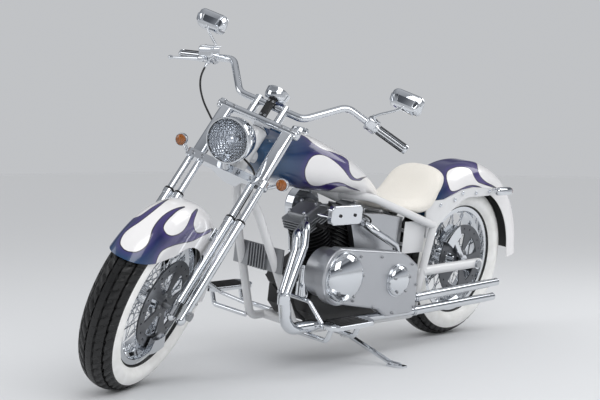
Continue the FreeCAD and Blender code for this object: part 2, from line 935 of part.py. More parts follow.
tube_spots = [(side, left) for side in SIDES for left in (d.tube_inner_left, d.tube_outer_left)]
head_bottom = d.lower_clamp_along + d.clamp_thickness / 2 + d.bearing_gap
head_top = d.upper_clamp_along - d.clamp_thickness / 2 - d.bearing_gap
clamp_top = d.upper_clamp_along + d.clamp_thickness / 2
clamp_front = d.fork_offset + d.fork_tube_radius + d.clamp_edge
tube_bottom = d.slider_top - d.tube_grip
tube_top = clamp_top + d.tube_proud

stem_hole = cylinder("stem_hole", d.stem_radius + d.seat_gap, d.clamp_thickness * 2,
                     at(0, 0, d.upper_clamp_along - d.clamp_thickness))
upper_bores = document.addObject("Part::MultiFuse", "upper_bores")
upper_bores.Shapes = [tube_holes("upper_tube_holes", d.upper_clamp_along), stem_hole]
upper_clamp = difference("upper_clamp_bored", clamp_plate("upper_clamp", d.upper_clamp_along),
                         upper_bores)
keep("upper_clamp", upper_clamp, on_fork)

lower_clamp = difference("lower_clamp_bored", clamp_plate("lower_clamp", d.lower_clamp_along),
                         tube_holes("lower_tube_holes", d.lower_clamp_along))
stem = turned_body("stem", [
    (0, d.lower_clamp_along), (d.stem_radius, d.lower_clamp_along),
    (d.stem_radius, clamp_top + d.seat_gap), (d.stem_nut_radius, clamp_top + d.seat_gap),
    (d.stem_nut_radius, clamp_top + d.stem_nut_height), (0, clamp_top + d.stem_nut_height)])
steering_stem = document.addObject("Part::Fuse", "steering_stem_joined")
steering_stem.Base = lower_clamp
steering_stem.Tool = stem
stem_shape = finished_shape(steering_stem)
keep("steering_stem", steering_stem, on_fork)

group("fork_tubes", [cylinder("fork_tube", d.fork_tube_radius, tube_top - tube_bottom,
                              at(d.fork_offset, side * left, tube_bottom))
                     for side, left in tube_spots], on_fork)


def slider_pair():
    """The left pair of fork legs, collared at the top and joined at the axle."""
    radius = d.slider_radius
    legs = []
    bores = [Part.makeCylinder(d.axle_radius + d.seat_gap, 4 * d.tube_outer_left,
                               Vector(d.fork_offset, -2 * d.tube_outer_left, 0), Y)]
    for left in (d.tube_inner_left, d.tube_outer_left):
        foot = Vector(d.fork_offset, left, d.slider_foot)
        legs.append(Part.makeCylinder(radius, d.slider_top - d.slider_foot, foot))
        legs.append(Part.makeCylinder(d.slider_collar_radius, d.slider_collar_height,
                                      Vector(foot.x, left, d.slider_top - d.slider_collar_height)))
        legs.append(Part.makeSphere(radius, foot))
        bores.append(Part.makeCylinder(d.fork_tube_radius + d.seat_gap, d.slider_top,
                                       Vector(foot.x, left, tube_bottom - d.seat_gap)))
    axle_block = block(Vector(d.fork_offset - radius, d.tube_inner_left, -radius * 1.6),
                       Vector(d.fork_offset + radius, d.tube_outer_left, radius * 1.6))
    return legs[0].multiFuse(legs[1:] + [axle_block]).cut(bores)


slider_shape = slider_pair()
shaped("fork_sliders", both_sides(slider_shape), on_fork)


def axle_profile(clamped_left):
    """A plain axle with a nut at each end, just outside what it clamps."""
    near = clamped_left + d.seat_gap
    end = near + d.axle_nut_height
    return [
        (0, -end), (d.axle_nut_radius, -end), (d.axle_nut_radius, -near),
        (d.axle_radius, -near), (d.axle_radius, near), (d.axle_nut_radius, near),
        (d.axle_nut_radius, end), (0, end),
    ]


turned("front_axle", axle_profile(d.tube_outer_left + d.slider_radius),
       Placement(Vector(d.fork_offset, 0, 0), Rotation(X, -90)), on_fork)

front_caliper_shape, front_caliper_left = caliper(d.front_hub_width / 2, d.front_caliper_angle)
front_caliper_shape.rotate(Vector(), X, -90)
front_caliper_shape.translate(Vector(d.fork_offset, 0, 0))
caliper_lug = block(
    Vector(-d.slider_radius * 2, front_caliper_left - d.caliper_cheek, d.disc_radius * 0.5),
    Vector(d.fork_offset, d.tube_inner_left, d.disc_radius * 0.66))
caliper_slot = Part.makeCylinder(
    d.disc_radius + d.moving_gap, d.disc_wall + 2 * d.moving_gap,
    Vector(d.fork_offset, d.front_hub_width / 2 + d.seat_gap - d.moving_gap, 0), Y)
slider_room = Part.makeCylinder(d.slider_radius + d.seat_gap, d.slider_top,
                                Vector(d.fork_offset, d.tube_inner_left, 0))
front_caliper = front_caliper_shape.fuse(caliper_lug).cut([slider_room, caliper_slot])
front_caliper = biggest(front_caliper)
shaped("front_caliper", front_caliper, on_fork)

# Fenders: one rounded section carried round the wheel


def fender_loop(half_width, depth, shoulder, inset):
    """The U of one skin: (across, out) corners, with the middle of each shoulder arc."""
    side = half_width - inset
    reach = shoulder - inset
    rise = reach * math.sqrt(0.5)
    corner = side - reach
    low = -inset - reach
    return [
        Vector(-side, -depth, 0), Vector(-side, low, 0), Vector(-corner - rise, low + rise, 0),
        Vector(-corner, -inset, 0), Vector(corner, -inset, 0),
        Vector(corner + rise, low + rise, 0), Vector(side, low, 0), Vector(side, -depth, 0),
    ]


def fender_edges(p):
    return [
        Part.LineSegment(p[0], p[1]).toShape(), Part.Arc(p[1], p[2], p[3]).toShape(),
        Part.LineSegment(p[3], p[4]).toShape(), Part.Arc(p[4], p[5], p[6]).toShape(),
        Part.LineSegment(p[6], p[7]).toShape(),
    ]


def fender_skin(half_width, depth, shoulder, wall):
    """A thin U section with round shoulders, its crown at height zero."""
    outer = fender_loop(half_width, depth, shoulder, 0.0)
    inner = fender_loop(half_width, depth, shoulder, wall)
    joins = [Part.LineSegment(outer[7], inner[7]).toShape(),
             Part.LineSegment(inner[0], outer[0]).toShape()]
    return Part.Wire(Part.__sortEdges__(fender_edges(outer) + fender_edges(inner) + joins))


def fender_room(half_width, depth, shoulder, gap):
    """The whole section that a fender fills, grown by a gap, to cut its neighbours."""
    outer = fender_loop(half_width + gap, depth, shoulder + gap, 0.0)
    join = Part.LineSegment(outer[7], outer[0]).toShape()
    wire = Part.Wire(Part.__sortEdges__(fender_edges(outer) + [join]))
    wire.translate(Vector(0, gap, 0))
    return wire


def stand_section(section, point, outward):
    """Stands a section across a path: its X along +Y, its Y along the outward direction."""
    across = Y.cross(outward)
    matrix = FreeCAD.Matrix(Y.x, outward.x, across.x, point.x,
                            Y.y, outward.y, across.y, point.y,
                            Y.z, outward.z, across.z, point.z)
    return section.copy().transformed(matrix)


def swept_fender(section, centre, radius, start, sweep, tail):
    """A section turned about the wheel's centre, with a straight tail."""
    first, last = math.radians(start), math.radians(start + sweep)
    outward = Vector(math.cos(first), 0, math.sin(first))
    face = Part.Face(stand_section(section, centre + outward * radius, outward))
    shell = face.revolve(centre, -Y, sweep)
    if tail:
        end = Vector(math.cos(last), 0, math.sin(last))
        onward = Vector(-math.sin(last), 0, math.cos(last))
        end_face = Part.Face(stand_section(section, centre + end * radius, end))
        shell = shell.fuse(end_face.extrude(onward * tail))
    return shell


front_skin = fender_skin(d.front_fender_half_width, d.front_fender_depth,
                         d.front_fender_shoulder, d.fender_wall)
front_fender_centre = front_axle_point + Vector(d.front_fender_ahead, 0, 0)
front_shell = swept_fender(front_skin, front_fender_centre, d.front_fender_radius,
                           d.front_fender_start, d.front_fender_sweep, 0.0)
skirt_corner = front_axle_point + Vector(0, -d.front_fender_radius, -d.front_fender_radius)
skirt_cut = block(skirt_corner, front_axle_point + Vector(
    2 * d.front_fender_radius, d.front_fender_radius, d.front_fender_skirt))
front_shell = front_shell.cut(skirt_cut)
lug_inner = d.front_fender_half_width - d.fender_wall
lug_outer = d.tube_inner_left - d.slider_radius - d.seat_gap
fender_lugs = []
for side in SIDES:
    lug = block(
        Vector(d.fork_offset - d.slider_radius, lug_inner, d.fender_lug_along),
        Vector(d.fork_offset + d.slider_radius, lug_outer, d.fender_lug_along + d.fender_lug_height))
    lug = lug if side > 0 else mirrored(lug)
    lug.Placement = steering
    fender_lugs.append(lug)
shaped("front_fender", front_shell.multiFuse(fender_lugs), steered)

rear_axle_point = Vector(0, 0, rear_tyre_radius)
rear_skin = fender_skin(d.rear_fender_half_width, d.rear_fender_depth,
                        d.rear_fender_shoulder, d.fender_wall)
rear_shell = swept_fender(rear_skin, rear_axle_point, d.rear_fender_radius,
                          d.rear_fender_start, d.rear_fender_sweep, d.rear_fender_tail)
shaped("rear_fender", rear_shell, parked)
rear_room = swept_fender(
    fender_room(d.rear_fender_half_width, d.rear_fender_depth, d.rear_fender_shoulder, d.seat_gap),
    rear_axle_point, d.rear_fender_radius, d.rear_fender_start - 2.0, d.rear_fender_sweep, 0.0)

# Headlamp and front signals

SHELL_SHARES = ((0.5, 0.93), (0.86, 0.6), (0.985, 0.2))
lamp_face = Vector(d.headlamp_ahead, 0, d.headlamp_along)
lamp_place = Placement(lamp_face, Rotation(Y, 90 + float(d.rake_angle)))
shell_points = [(0, -d.headlamp_depth)]
shell_points += [(d.headlamp_radius * r, -d.headlamp_depth * h) for r, h in SHELL_SHARES]
shell_points += [
    (d.headlamp_radius, 0), (d.headlamp_radius, d.headlamp_rim),
    (d.headlamp_radius - d.headlamp_wall, d.headlamp_rim),
    (d.headlamp_radius - d.headlamp_wall, 0), (0, 0)]
shell_body = turned_body("headlamp_bowl", shell_points)
shell_body.Placement = lamp_place
lamp_arm = bar(Vector(clamp_front + d.seat_gap, 0, d.lower_clamp_along),
               Vector(d.headlamp_ahead - d.headlamp_radius * 0.6, 0, d.lower_clamp_along
                      + d.clamp_thickness), d.lamp_arm_radius)
lamp_arm = lamp_arm.cut(stem_shape)
bowl_shape = finished_shape(shell_body)
shaped("headlamp_shell", bowl_shape.fuse(biggest(lamp_arm)), on_fork)
lens_radius = d.headlamp_radius - d.headlamp_wall - d.seat_gap
turned("headlamp_lens", [
    (0, d.seat_gap), (lens_radius, d.seat_gap), (lens_radius, d.headlamp_rim),
    crown(lens_radius, d.headlamp_rim, d.headlamp_rim * 1.5)], lamp_place, on_fork)

signal_centre = Vector(d.signal_ahead, d.signal_left, d.signal_along)
signal_root = Vector(d.fork_offset, d.tube_outer_left, d.lower_clamp_along)
signal_arm = bar(signal_root, signal_centre, d.signal_arm_radius)
signal_bulb = Part.makeSphere(d.signal_radius, signal_centre)
tube_room = Part.makeCylinder(d.fork_tube_radius + d.seat_gap, d.upper_clamp_along,
                              Vector(d.fork_offset, d.tube_outer_left, 0))
front_signal = biggest(signal_bulb.fuse(signal_arm).cut([stem_shape, tube_room]))
shaped("front_signals", both_sides(front_signal), on_fork)

# Handlebar and what it carries, drawn along the steering axis

bar_centre = Vector(d.bar_ahead, d.bar_centre_left, d.bar_along)
bar_rise = Vector(d.bar_rise_ahead, d.bar_rise_left, d.bar_rise_along)
bar_end = Vector(d.bar_end_ahead, d.bar_end_left, d.bar_end_along)
left_half = [bar_end, bar_rise, bar_centre]
right_half = [Vector(p.x, -p.y, p.z) for p in reversed(left_half)]
bar_shape = bent_tube(left_half + right_half, d.bar_bend_radius, d.bar_radius)
risers = []
for side in SIDES:
    foot = Vector(d.bar_ahead, side * d.riser_left, clamp_top + d.seat_gap)
    top = Vector(foot.x, foot.y, d.bar_along + d.riser_radius)
    risers.append(bar(foot, top, d.riser_radius))
handlebar = bar_shape.multiFuse(risers)
shaped("handlebar", handlebar, on_fork)

grip_line = (bar_rise - bar_end).normalize()
bar_room = Part.makeCylinder(d.bar_radius + d.seat_gap, bar_end.distanceToPoint(bar_rise),
                             bar_end - grip_line * d.seat_gap, grip_line)
grip = Part.makeCylinder(d.grip_radius, d.grip_length + d.grip_cap,
                         bar_end - grip_line * d.grip_cap, grip_line)
grip_shape = grip.cut(bar_room)
shaped("grips", both_sides(grip_shape), on_fork)

control_start = bar_end + grip_line * (d.grip_length + d.seat_gap)
control = Part.makeCylinder(d.control_radius, d.control_length, control_start, grip_line)
control_middle = control_start + grip_line * (d.control_length / 2)
reservoir_low = control_middle + Vector(
    -d.reservoir_width / 2, d.control_length / 3 - d.reservoir_length, d.control_radius * 0.5)
reservoir = block(reservoir_low, reservoir_low + Vector(d.reservoir_width, d.reservoir_length,
                                                        d.reservoir_height))
left_control = control.cut(bar_room)
lever_root = control_middle + Vector(d.control_radius, 0, 0)
lever_knee = control_middle + Vector(d.lever_reach, -d.control_length / 2, 0)
lever_tip = lever_knee - grip_line * d.lever_length
lever = bent_tube([lever_root, lever_knee, lever_tip], d.control_radius, d.lever_radius)
knob = Part.makeSphere(d.lever_radius * 1.5, lever_tip)
right_control = mirrored(control.multiFuse([reservoir, lever, knob]).cut(bar_room))
shaped("hand_controls", Part.makeCompound([left_control, right_control]), on_fork)

dial_foot = Vector(d.bar_ahead, 0, d.dial_along)
dial = Part.makeCylinder(d.dial_radius, d.dial_depth, dial_foot)
dial_stay = block(
    Vector(d.dial_stay_ahead, -d.dial_stay_width / 2, clamp_top + d.seat_gap),
    Vector(d.dial_stay_ahead + d.dial_stay_wall, d.dial_stay_width / 2,
           d.dial_along + d.dial_stay_wall))
shaped("speedometer", dial.fuse(dial_stay), on_fork)

MIRROR_SHARES = ((0.0, 0.98), (0.3, 1.0), (0.72, 0.82), (1.0, 0.45))


def section_ring(x, low, high, half_width, squareness, count):
    """A closed smooth section across the machine at one station."""
    centre = (low + high) / 2
    rise = (high - low) / 2
    ring = []
    for index in range(count):
        angle = 2 * math.pi * index / count
        c, s = math.cos(angle), math.sin(angle)
        ring.append(Vector(x, half_width * math.copysign(abs(c) ** (2 / squareness), c),
                           centre + rise * math.copysign(abs(s) ** (2 / squareness), s)))
    curve = Part.BSplineCurve()
    curve.interpolate(ring, PeriodicFlag=True)
    return Part.Wire(curve.toShape())


def mirror_head():
    """A rounded oblong glass facing back, with a domed back."""
    rings = []
    for depth_share, size_share in MIRROR_SHARES:
        half = d.mirror_half_height * size_share
        rings.append(section_ring(d.mirror_depth * depth_share, -half, half,
                                  d.mirror_half_width * size_share, 2.8, 16))
    head = Part.makeLoft(rings, True)
    head.Placement = Placement(Vector(d.mirror_ahead, d.mirror_left, d.mirror_along),
                               Rotation(Y, float(d.rake_angle)))
    return head


stalk_root = control_start + grip_line * (d.control_length * 0.8) + Vector(0, 0, d.control_radius)
stalk_top = Vector(d.mirror_ahead + d.mirror_depth * 0.4, d.mirror_left,
                   d.mirror_along - d.mirror_half_height * 0.8)
stalk_knee = (stalk_root * 0.45 + stalk_top * 0.55) + Vector(0, 0, -d.mirror_half_height * 0.5)
stalk = bent_tube([stalk_root, stalk_knee, stalk_top], d.mirror_half_width, d.mirror_stalk_radius)
control_room = Part.makeCylinder(d.control_radius + d.seat_gap, d.control_length + d.seat_gap,
                                 control_start, grip_line)
mirror_shape = biggest(mirror_head().fuse(stalk).cut([control_room, bar_room, reservoir]))
shaped("mirrors", both_sides(mirror_shape), on_fork)

# The brake hose: from the hand control, round the front of the head, down the left leg

HOSE_ROUTE = [
    (-38, -316, 862), (-42, -318, 822), (-34, -292, 768), (-14, -240, 712), (6, -184, 668),
    (20, -136, 632), (38, -84, 600), (54, -30, 574), (52, 26, 556), (40, 72, 540),
    (27, 98, 505), (25, 100, 440), (25, 100, 370), (25, 99, 300), (22, 98, 232), (12, 92, 176),
    (-6, 85, 148),
]
hose_points = [Vector(*spot) for spot in HOSE_ROUTE]


def hose_tube(points, radius):
    """Straight runs joined by the largest tangent arcs that they have room for."""
    edges = []
    start = points[0]
    arc_share = 0.45
    for index in range(1, len(points) - 1):
        corner = points[index]
        back = (points[index - 1] - corner)
        onward = (points[index + 1] - corner)
        run = arc_share * min(back.Length, onward.Length)
        half = back.getAngle(onward) / 2
        back.normalize()
        onward.normalize()
        enter = corner + back * run
        leave = corner + onward * run
        centre = corner + (back + onward).normalize() * (run / math.cos(half))
        middle = centre + (corner - centre).normalize() * (run * math.tan(half))
        print(f"hose bend {index}: radius {run * math.tan(half):.0f}")
        edges.append(Part.LineSegment(start, enter).toShape())
        edges.append(Part.Arc(enter, middle, leave).toShape())
        start = leave
    edges.append(Part.LineSegment(start, points[-1]).toShape())
    path = Part.Wire(edges)
    ring = Part.Wire(Part.Circle(points[0], points[1] - points[0], radius).toShape())
    tube = path.makePipeShell([ring], True, False)
    print(f"hose length {path.Length:.0f}, volume {tube.Volume:.0f}, "
          f"section times length {math.pi * float(radius) ** 2 * path.Length:.0f}")
    return tube


hose_shape = hose_tube(hose_points, d.hose_radius).cut([right_control, front_caliper])
shaped("brake_hose", biggest(hose_shape), on_fork)

# Frame

head_low = steering.multVec(Vector(0, 0, head_bottom))
head_high = steering.multVec(Vector(0, 0, head_top))
neck = steering.multVec(Vector(0, 0, (head_bottom + head_top) / 2))
down_start = steering.multVec(Vector(0, 0, d.down_head_along))


def cross_tube(ahead, left, up, radius):
    return bar(Vector(ahead, -left, up), Vector(ahead, left, up), radius)


def cradle_left(ahead):
    """How far out the lower cradle tube lies at a place along it."""
    share = (ahead - d.cradle_rear_ahead) / (d.cradle_front_ahead - d.cradle_rear_ahead)
    return d.cradle_rear_left + (d.cradle_front_left - d.cradle_rear_left) * share


def frame_tubes(extra):
    """The frame's tubes, grown by a clearance where another piece is fitted round them."""
    grown = d.frame_tube_radius + extra
    backbone_end = Vector(d.backbone_end_ahead, 0, d.backbone_end_up)
    pieces = [bar(head_low, head_high, d.head_radius + extra),
              bar(neck, backbone_end, d.backbone_radius + extra),
              Part.makeSphere(d.backbone_radius + extra, backbone_end),
              cross_tube(d.cradle_rear_ahead, d.cradle_rear_left, d.post_foot_up, grown),
              cross_tube(d.pivot_ahead, d.rail_rear_left, d.pivot_up, grown)]
    for ahead in (d.front_cross_ahead, d.rear_cross_ahead):
        pieces.append(cross_tube(ahead, cradle_left(ahead), d.cradle_up, grown))
    for side in SIDES:
        pieces.append(bent_tube([
            down_start,
            Vector(d.down_bend_ahead, side * d.down_bend_left, d.down_bend_up),
            Vector(d.cradle_front_ahead, side * d.cradle_front_left, d.cradle_up),
            Vector(d.cradle_rear_ahead, side * d.cradle_rear_left, d.cradle_up),
            Vector(d.cradle_rear_ahead, side * d.rail_rear_left, d.post_foot_up),
            Vector(d.rail_rear_ahead, side * d.rail_rear_left, d.rail_rear_up)],
            d.frame_bend_radius, grown))
        pieces.append(bent_tube([
            Vector(d.rail_join_ahead, 0, d.rail_join_up),
            Vector(d.rail_front_ahead, side * d.rail_front_left, d.rail_front_up),
            Vector(d.rail_rear_ahead, side * d.rail_rear_left, d.rail_rear_up)],
            d.frame_bend_radius, grown))
    return pieces


def stand_turn():
    """The stand's pivot, its two rest directions and its axis, in the parked frame."""
    pivot = parked.multVec(Vector(d.stand_pivot_ahead, d.stand_pivot_left, d.stand_pivot_up))
    foot = Vector(d.stand_foot_ahead - d.origin_ahead, d.stand_foot_left - d.origin_left,
                  d.stand_foot_wall)
    down = (foot - pivot).normalize()
    stowed = parked.Rotation.multVec(Vector(-1.0, 0.06, -0.02)).normalize()
    return pivot, foot, down, stowed, down.cross(stowed).normalize()


stand_pivot, stand_foot, stand_down, stand_stowed, stand_axis = stand_turn()


def stand_ears():
    """Two cheeks under the left cradle tube and the pin that the side stand turns on."""
    unparked = parked.inverse()
    pivot = unparked.multVec(stand_pivot)
    axis = unparked.Rotation.multVec(stand_axis)
    tube_centre = Vector(pivot.x, cradle_left(d.stand_pivot_ahead), d.cradle_up)
    reach = d.stand_eye_width / 2 + d.seat_gap
    pieces = [bar(pivot - axis * (reach + d.stand_cheek_wall),
                  pivot + axis * (reach + d.stand_cheek_wall), d.stand_pin_radius)]
    for side in SIDES:
        inner = pivot + axis * (side * reach)
        outer = pivot + axis * (side * (reach + d.stand_cheek_wall))
        pieces.append(bar(inner, outer, d.stand_eye_radius))
    inner = pivot + axis * (reach + d.stand_cheek_wall / 2)
    pieces.append(bar(inner, tube_centre, d.stand_cheek_wall / 2 + d.seat_gap))
    lower = pivot - axis * (reach + d.stand_cheek_wall / 2)
    back = Vector(d.stand_eye_radius * 1.9, 0, 0)
    pieces.append(bent_tube([lower, lower + back, tube_centre + back * 1.2],
                            d.stand_eye_radius / 2, d.stand_cheek_wall / 2))
    return pieces


frame_pieces = frame_tubes(0.0) + stand_ears()
frame_shape = frame_pieces[0].multiFuse(frame_pieces[1:])
head_bore = bar(steering.multVec(Vector(0, 0, head_bottom - d.overrun)),
                steering.multVec(Vector(0, 0, head_top + d.overrun)),
                d.stem_radius + d.running_gap)
shaped("frame", frame_shape.cut(head_bore), parked)
frame_room = frame_tubes(d.seat_gap)

# Swingarm, rear axle and rear brake

swingarm_arms = []
for side in SIDES:
    left = side * d.swingarm_left
    tail = Vector(-d.swingarm_tail, left, rear_tyre_radius)
    arm = bar(Vector(d.pivot_ahead, left, d.pivot_up), tail, d.swingarm_radius)
    arm = arm.fuse(Part.makeSphere(d.swingarm_radius, tail))
    axle_hole = bar(Vector(0, -2 * d.swingarm_left, rear_tyre_radius),
                    Vector(0, 2 * d.swingarm_left, rear_tyre_radius),
                    d.axle_radius + d.seat_gap)
    swingarm_arms.append(biggest(arm.cut(frame_room + [axle_hole])))
shaped("swingarm", Part.makeCompound(swingarm_arms), parked)
turned("rear_axle", axle_profile(d.swingarm_left + d.swingarm_radius),
       wheel_place(0, rear_tyre_radius), parked)

rear_caliper_shape, rear_caliper_left = caliper(d.rear_hub_width / 2, d.rear_caliper_angle)
bracket_low = rear_caliper_left - d.caliper_cheek
bracket_ring = Part.makeCylinder(d.axle_radius * 2.2, d.caliper_cheek * 0.6,
                                 Vector(0, 0, bracket_low))
bracket_arm = block(Vector(0, -d.axle_radius, bracket_low),
                    Vector(d.disc_radius, d.axle_radius, bracket_low + d.caliper_cheek * 0.6))
bracket_arm.rotate(Vector(), Z, d.rear_caliper_angle)
bracket_bore = Part.makeCylinder(d.axle_radius + d.seat_gap, d.swingarm_left * 2)
rear_caliper = rear_caliper_shape.multiFuse([bracket_ring, bracket_arm]).cut(bracket_bore)
rear_caliper.rotate(Vector(), X, 90)
rear_caliper = rear_caliper.mirror(Vector(), Y)
rear_caliper.translate(rear_axle_point)
shaped("rear_caliper", rear_caliper, parked)

# Tank, cap and seat: smooth sections lofted from back to front

TANK_SHARES = (
    (1.0, 0.59, 0.786, 0.33), (0.967, 0.477, 0.863, 0.54), (0.892, 0.366, 0.924, 0.756),
    (0.809, 0.286, 1.0, 0.885), (0.697, 0.237, 0.985, 0.96), (0.577, 0.206, 0.885, 1.0),
    (0.396, 0.16, 0.71, 0.897), (0.216, 0.092, 0.48, 0.654), (0.066, 0.015, 0.26, 0.385),
    (0.0, 0.0, 0.153, 0.218),
)
SEAT_SHARES = (
    (1.0, 0.15, 0.365, 0.41), (0.833, 0.07, 0.35, 0.753), (0.611, 0.0, 0.366, 0.945),
    (0.403, 0.0, 0.58, 1.0), (0.25, 0.177, 0.946, 0.918), (0.125, 0.392, 1.0, 0.767),
    (0.014, 0.634, 0.935, 0.52),
)


def lofted(shares, rear_ahead, low_up, length, height, half_width):
    rings = []
    for along, low, high, wide in shares:
        rings.append(section_ring(rear_ahead + along * length, low_up + low * height,
                                  low_up + high * height, wide * half_width, 2.4, 20))
    return Part.makeLoft(rings, True)


tank_rear_ahead = d.head_ahead - d.tank_behind_head - d.tank_length
cap_ahead = d.head_ahead - d.cap_behind_head
tank_shape = lofted(TANK_SHARES, tank_rear_ahead, d.tank_low_up, d.tank_length,
                    d.tank_height, d.tank_half_width)
tank_shape = biggest(tank_shape.cut(frame_room))
shaped("fuel_tank", tank_shape, parked)

cap_share = 0.97
cap_up = d.tank_low_up + d.tank_height * cap_share
cap_axis = Vector(-0.2, 0, 1.0).normalize()
cap_foot = Vector(cap_ahead, 0, cap_up)
cap = Part.makeCylinder(d.cap_radius, d.cap_height + d.overrun, cap_foot, cap_axis)
shaped("fuel_cap", biggest(cap.cut(tank_shape)), parked)

STRUT_SHARES = (
    (1.0, 0.68), (0.93, 0.78), (0.75, 0.8), (0.64, 0.87), (0.51, 0.96), (0.35, 1.0),
    (0.13, 0.97), (0.02, 0.93), (0.0, 0.87), (0.11, 0.83), (0.28, 0.82), (0.41, 0.82),
    (0.49, 0.77), (0.59, 0.65), (0.68, 0.53), (0.79, 0.36), (0.87, 0.2), (0.955, 0.12),
)


def strut(extra):
    """The left fender strut: a shaped plate on a boss that reaches the frame's rail."""
    left = d.rear_fender_half_width + d.seat_gap
    points = [(d.strut_rear_ahead + d.strut_length * a, d.strut_low_up + d.strut_height * u)
              for a, u in STRUT_SHARES]
    plate = prism(points, left - extra, d.strut_wall + 2 * extra)
    root = Vector(d.rail_rear_ahead, left, d.rail_rear_up)
    tip = Vector(d.rail_rear_ahead, d.rail_rear_left, d.rail_rear_up)
    boss = bar(root, tip, d.strut_boss_radius + extra).cut(frame_room)
    return plate.fuse(biggest(boss))


strut_shape = strut(0.0)
shaped("fender_struts", both_sides(strut_shape), parked)

seat_shape = lofted(SEAT_SHARES, d.seat_rear_ahead, d.seat_low_up, d.seat_length,
                    d.seat_height, d.seat_half_width)
strut_room = strut(d.seat_gap)
seat_shape = seat_shape.cut(frame_room + [tank_shape, rear_room, strut_room, mirrored(strut_room)])
seat_shape = biggest(seat_shape)
shaped("seat", seat_shape, parked)

# Rear lamps

signal_left = d.rear_fender_half_width + d.seat_gap + d.strut_wall + d.seat_gap
rear_arm = bar(Vector(d.rear_signal_ahead, signal_left, d.rear_signal_up),
               Vector(d.rear_signal_ahead, d.rear_signal_left, d.rear_signal_up),
               d.signal_arm_radius)
bullet_front = Vector(d.rear_signal_ahead + d.rear_signal_length * 0.35, d.rear_signal_left,
                      d.rear_signal_up)
bullet = Part.makeCylinder(d.rear_signal_radius, d.rear_signal_length, bullet_front, -X)
bullet = bullet.fuse(Part.makeSphere(d.rear_signal_radius, bullet_front))
rear_signal = rear_arm.fuse(bullet)
lamp_direction = math.radians(d.tail_lamp_angle)
lamp_out = Vector(math.cos(lamp_direction), 0, math.sin(lamp_direction))
lamp_along = Vector(-lamp_out.z, 0, lamp_out.x)
lamp_centre = rear_axle_point + lamp_out * d.rear_fender_radius
tail_lamp = section_ring(0.0, -d.tail_lamp_height / 2, d.tail_lamp_height / 2,
                         d.tail_lamp_half_width, 2.6, 16)
tail_matrix = FreeCAD.Matrix(lamp_out.x, 0, lamp_along.x, lamp_centre.x,
                             0, 1, 0, 0,
                             lamp_out.z, 0, lamp_along.z, lamp_centre.z)
tail_face = Part.Face(tail_lamp.transformed(tail_matrix))
tail_face.translate(lamp_out * -d.rear_fender_shoulder)
tail_solid = tail_face.extrude(lamp_out * (d.rear_fender_shoulder + d.tail_lamp_proud))
tail_solid = biggest(tail_solid.cut(rear_room))
shaped("rear_lamps", Part.makeCompound([rear_signal, mirrored(rear_signal), tail_solid]), parked)

# Engine: case, finned barrels, heads, covers and intake

crank = Vector(d.crank_ahead, 0, d.crank_up)
case_low = d.cradle_up + d.frame_tube_radius + d.seat_gap
vee = math.radians(d.vee_angle)


def deck_point(way, across):
    """A point of a cylinder's foot plane: way is +1 in front and -1 behind."""
    x = d.crank_ahead + way * (d.barrel_foot * math.sin(vee) + across * math.cos(vee))
    z = d.crank_up + d.barrel_foot * math.cos(vee) - across * math.sin(vee)
    return (x, z)


crankcase = new_body("engine_block")
case_points = [
    deck_point(1, d.deck_half), (d.case_front_ahead, d.case_nose_up),
    (d.case_front_ahead, case_low + d.case_corner),
    (d.case_front_ahead - d.case_corner, case_low),
    (d.case_rear_ahead + d.case_corner, case_low),
    (d.case_rear_ahead, case_low + d.case_corner), (d.case_rear_ahead, d.case_rear_up),
    deck_point(-1, d.deck_half), (d.crank_ahead, d.crank_up + d.barrel_foot / math.cos(vee)),
]
pad(crankcase, outline(crankcase, "XZ_Plane", case_points, -d.case_left),
    d.case_left + d.case_right)
case_shape = finished_shape(crankcase)
pulley_centre = Vector(d.rear_dome_ahead, 0, d.pivot_up + d.frame_tube_radius)
front_pulley = Part.makeCylinder(
    d.front_pulley_radius, d.belt_right + d.pulley_width / 2 - d.case_right,
    pulley_centre - Vector(0, d.case_right, 0), -Y)
shaped("crankcase", case_shape.fuse(front_pulley), parked)


def comb(inner, outer, low, high, count, wall):
    """A turned profile of cooling fins between two heights."""
    pitch = (high - low) / count
    points = [(0, low), (inner, low)]
    for index in range(count):
        base = low + pitch * (index + 1) - wall
        points += [(inner, base), (outer, base), (outer, base + wall), (inner, base + wall)]
    points.pop()
    return points + [(0, high)]


BARREL_FINS = 8
barrels = []
for way in SIDES:
    foot = d.barrel_foot + d.seat_gap
    body = turned_body("barrel", comb(d.barrel_radius, d.fin_radius, foot,
                                      foot + d.barrel_length, BARREL_FINS, d.fin_wall))
    body.Placement = Placement(crank, Rotation(Y, way * float(d.vee_angle)))
    other_half = document.addObject("Part::Box", "other_half")
    bind(other_half, "Length", d.fin_radius * 2)
    bind(other_half, "Width", d.fin_radius * 2)
    bind(other_half, "Height", d.barrel_foot + d.barrel_length)
    start = d.crank_ahead + d.vee_gap / 2 - d.fin_radius * 2
    if way < 0:
        start = d.crank_ahead - d.vee_gap / 2
    other_half.Placement = at(start, -d.fin_radius, d.crank_up)
    barrels.append(difference("barrel_trimmed", body, other_half))
group("cylinders", barrels, parked)


def rounded_block(half_x, half_y, low, high, corner):
    """A block about local Z with round upright corners."""
    shape = block(Vector(-half_x, -half_y, low), Vector(half_x, half_y, high))
    upright = [edge for edge in shape.Edges
               if abs(edge.Vertexes[0].Z - edge.Vertexes[1].Z) > corner / 100]
    return shape.makeFillet(corner, upright)


HEAD_FINS = 4


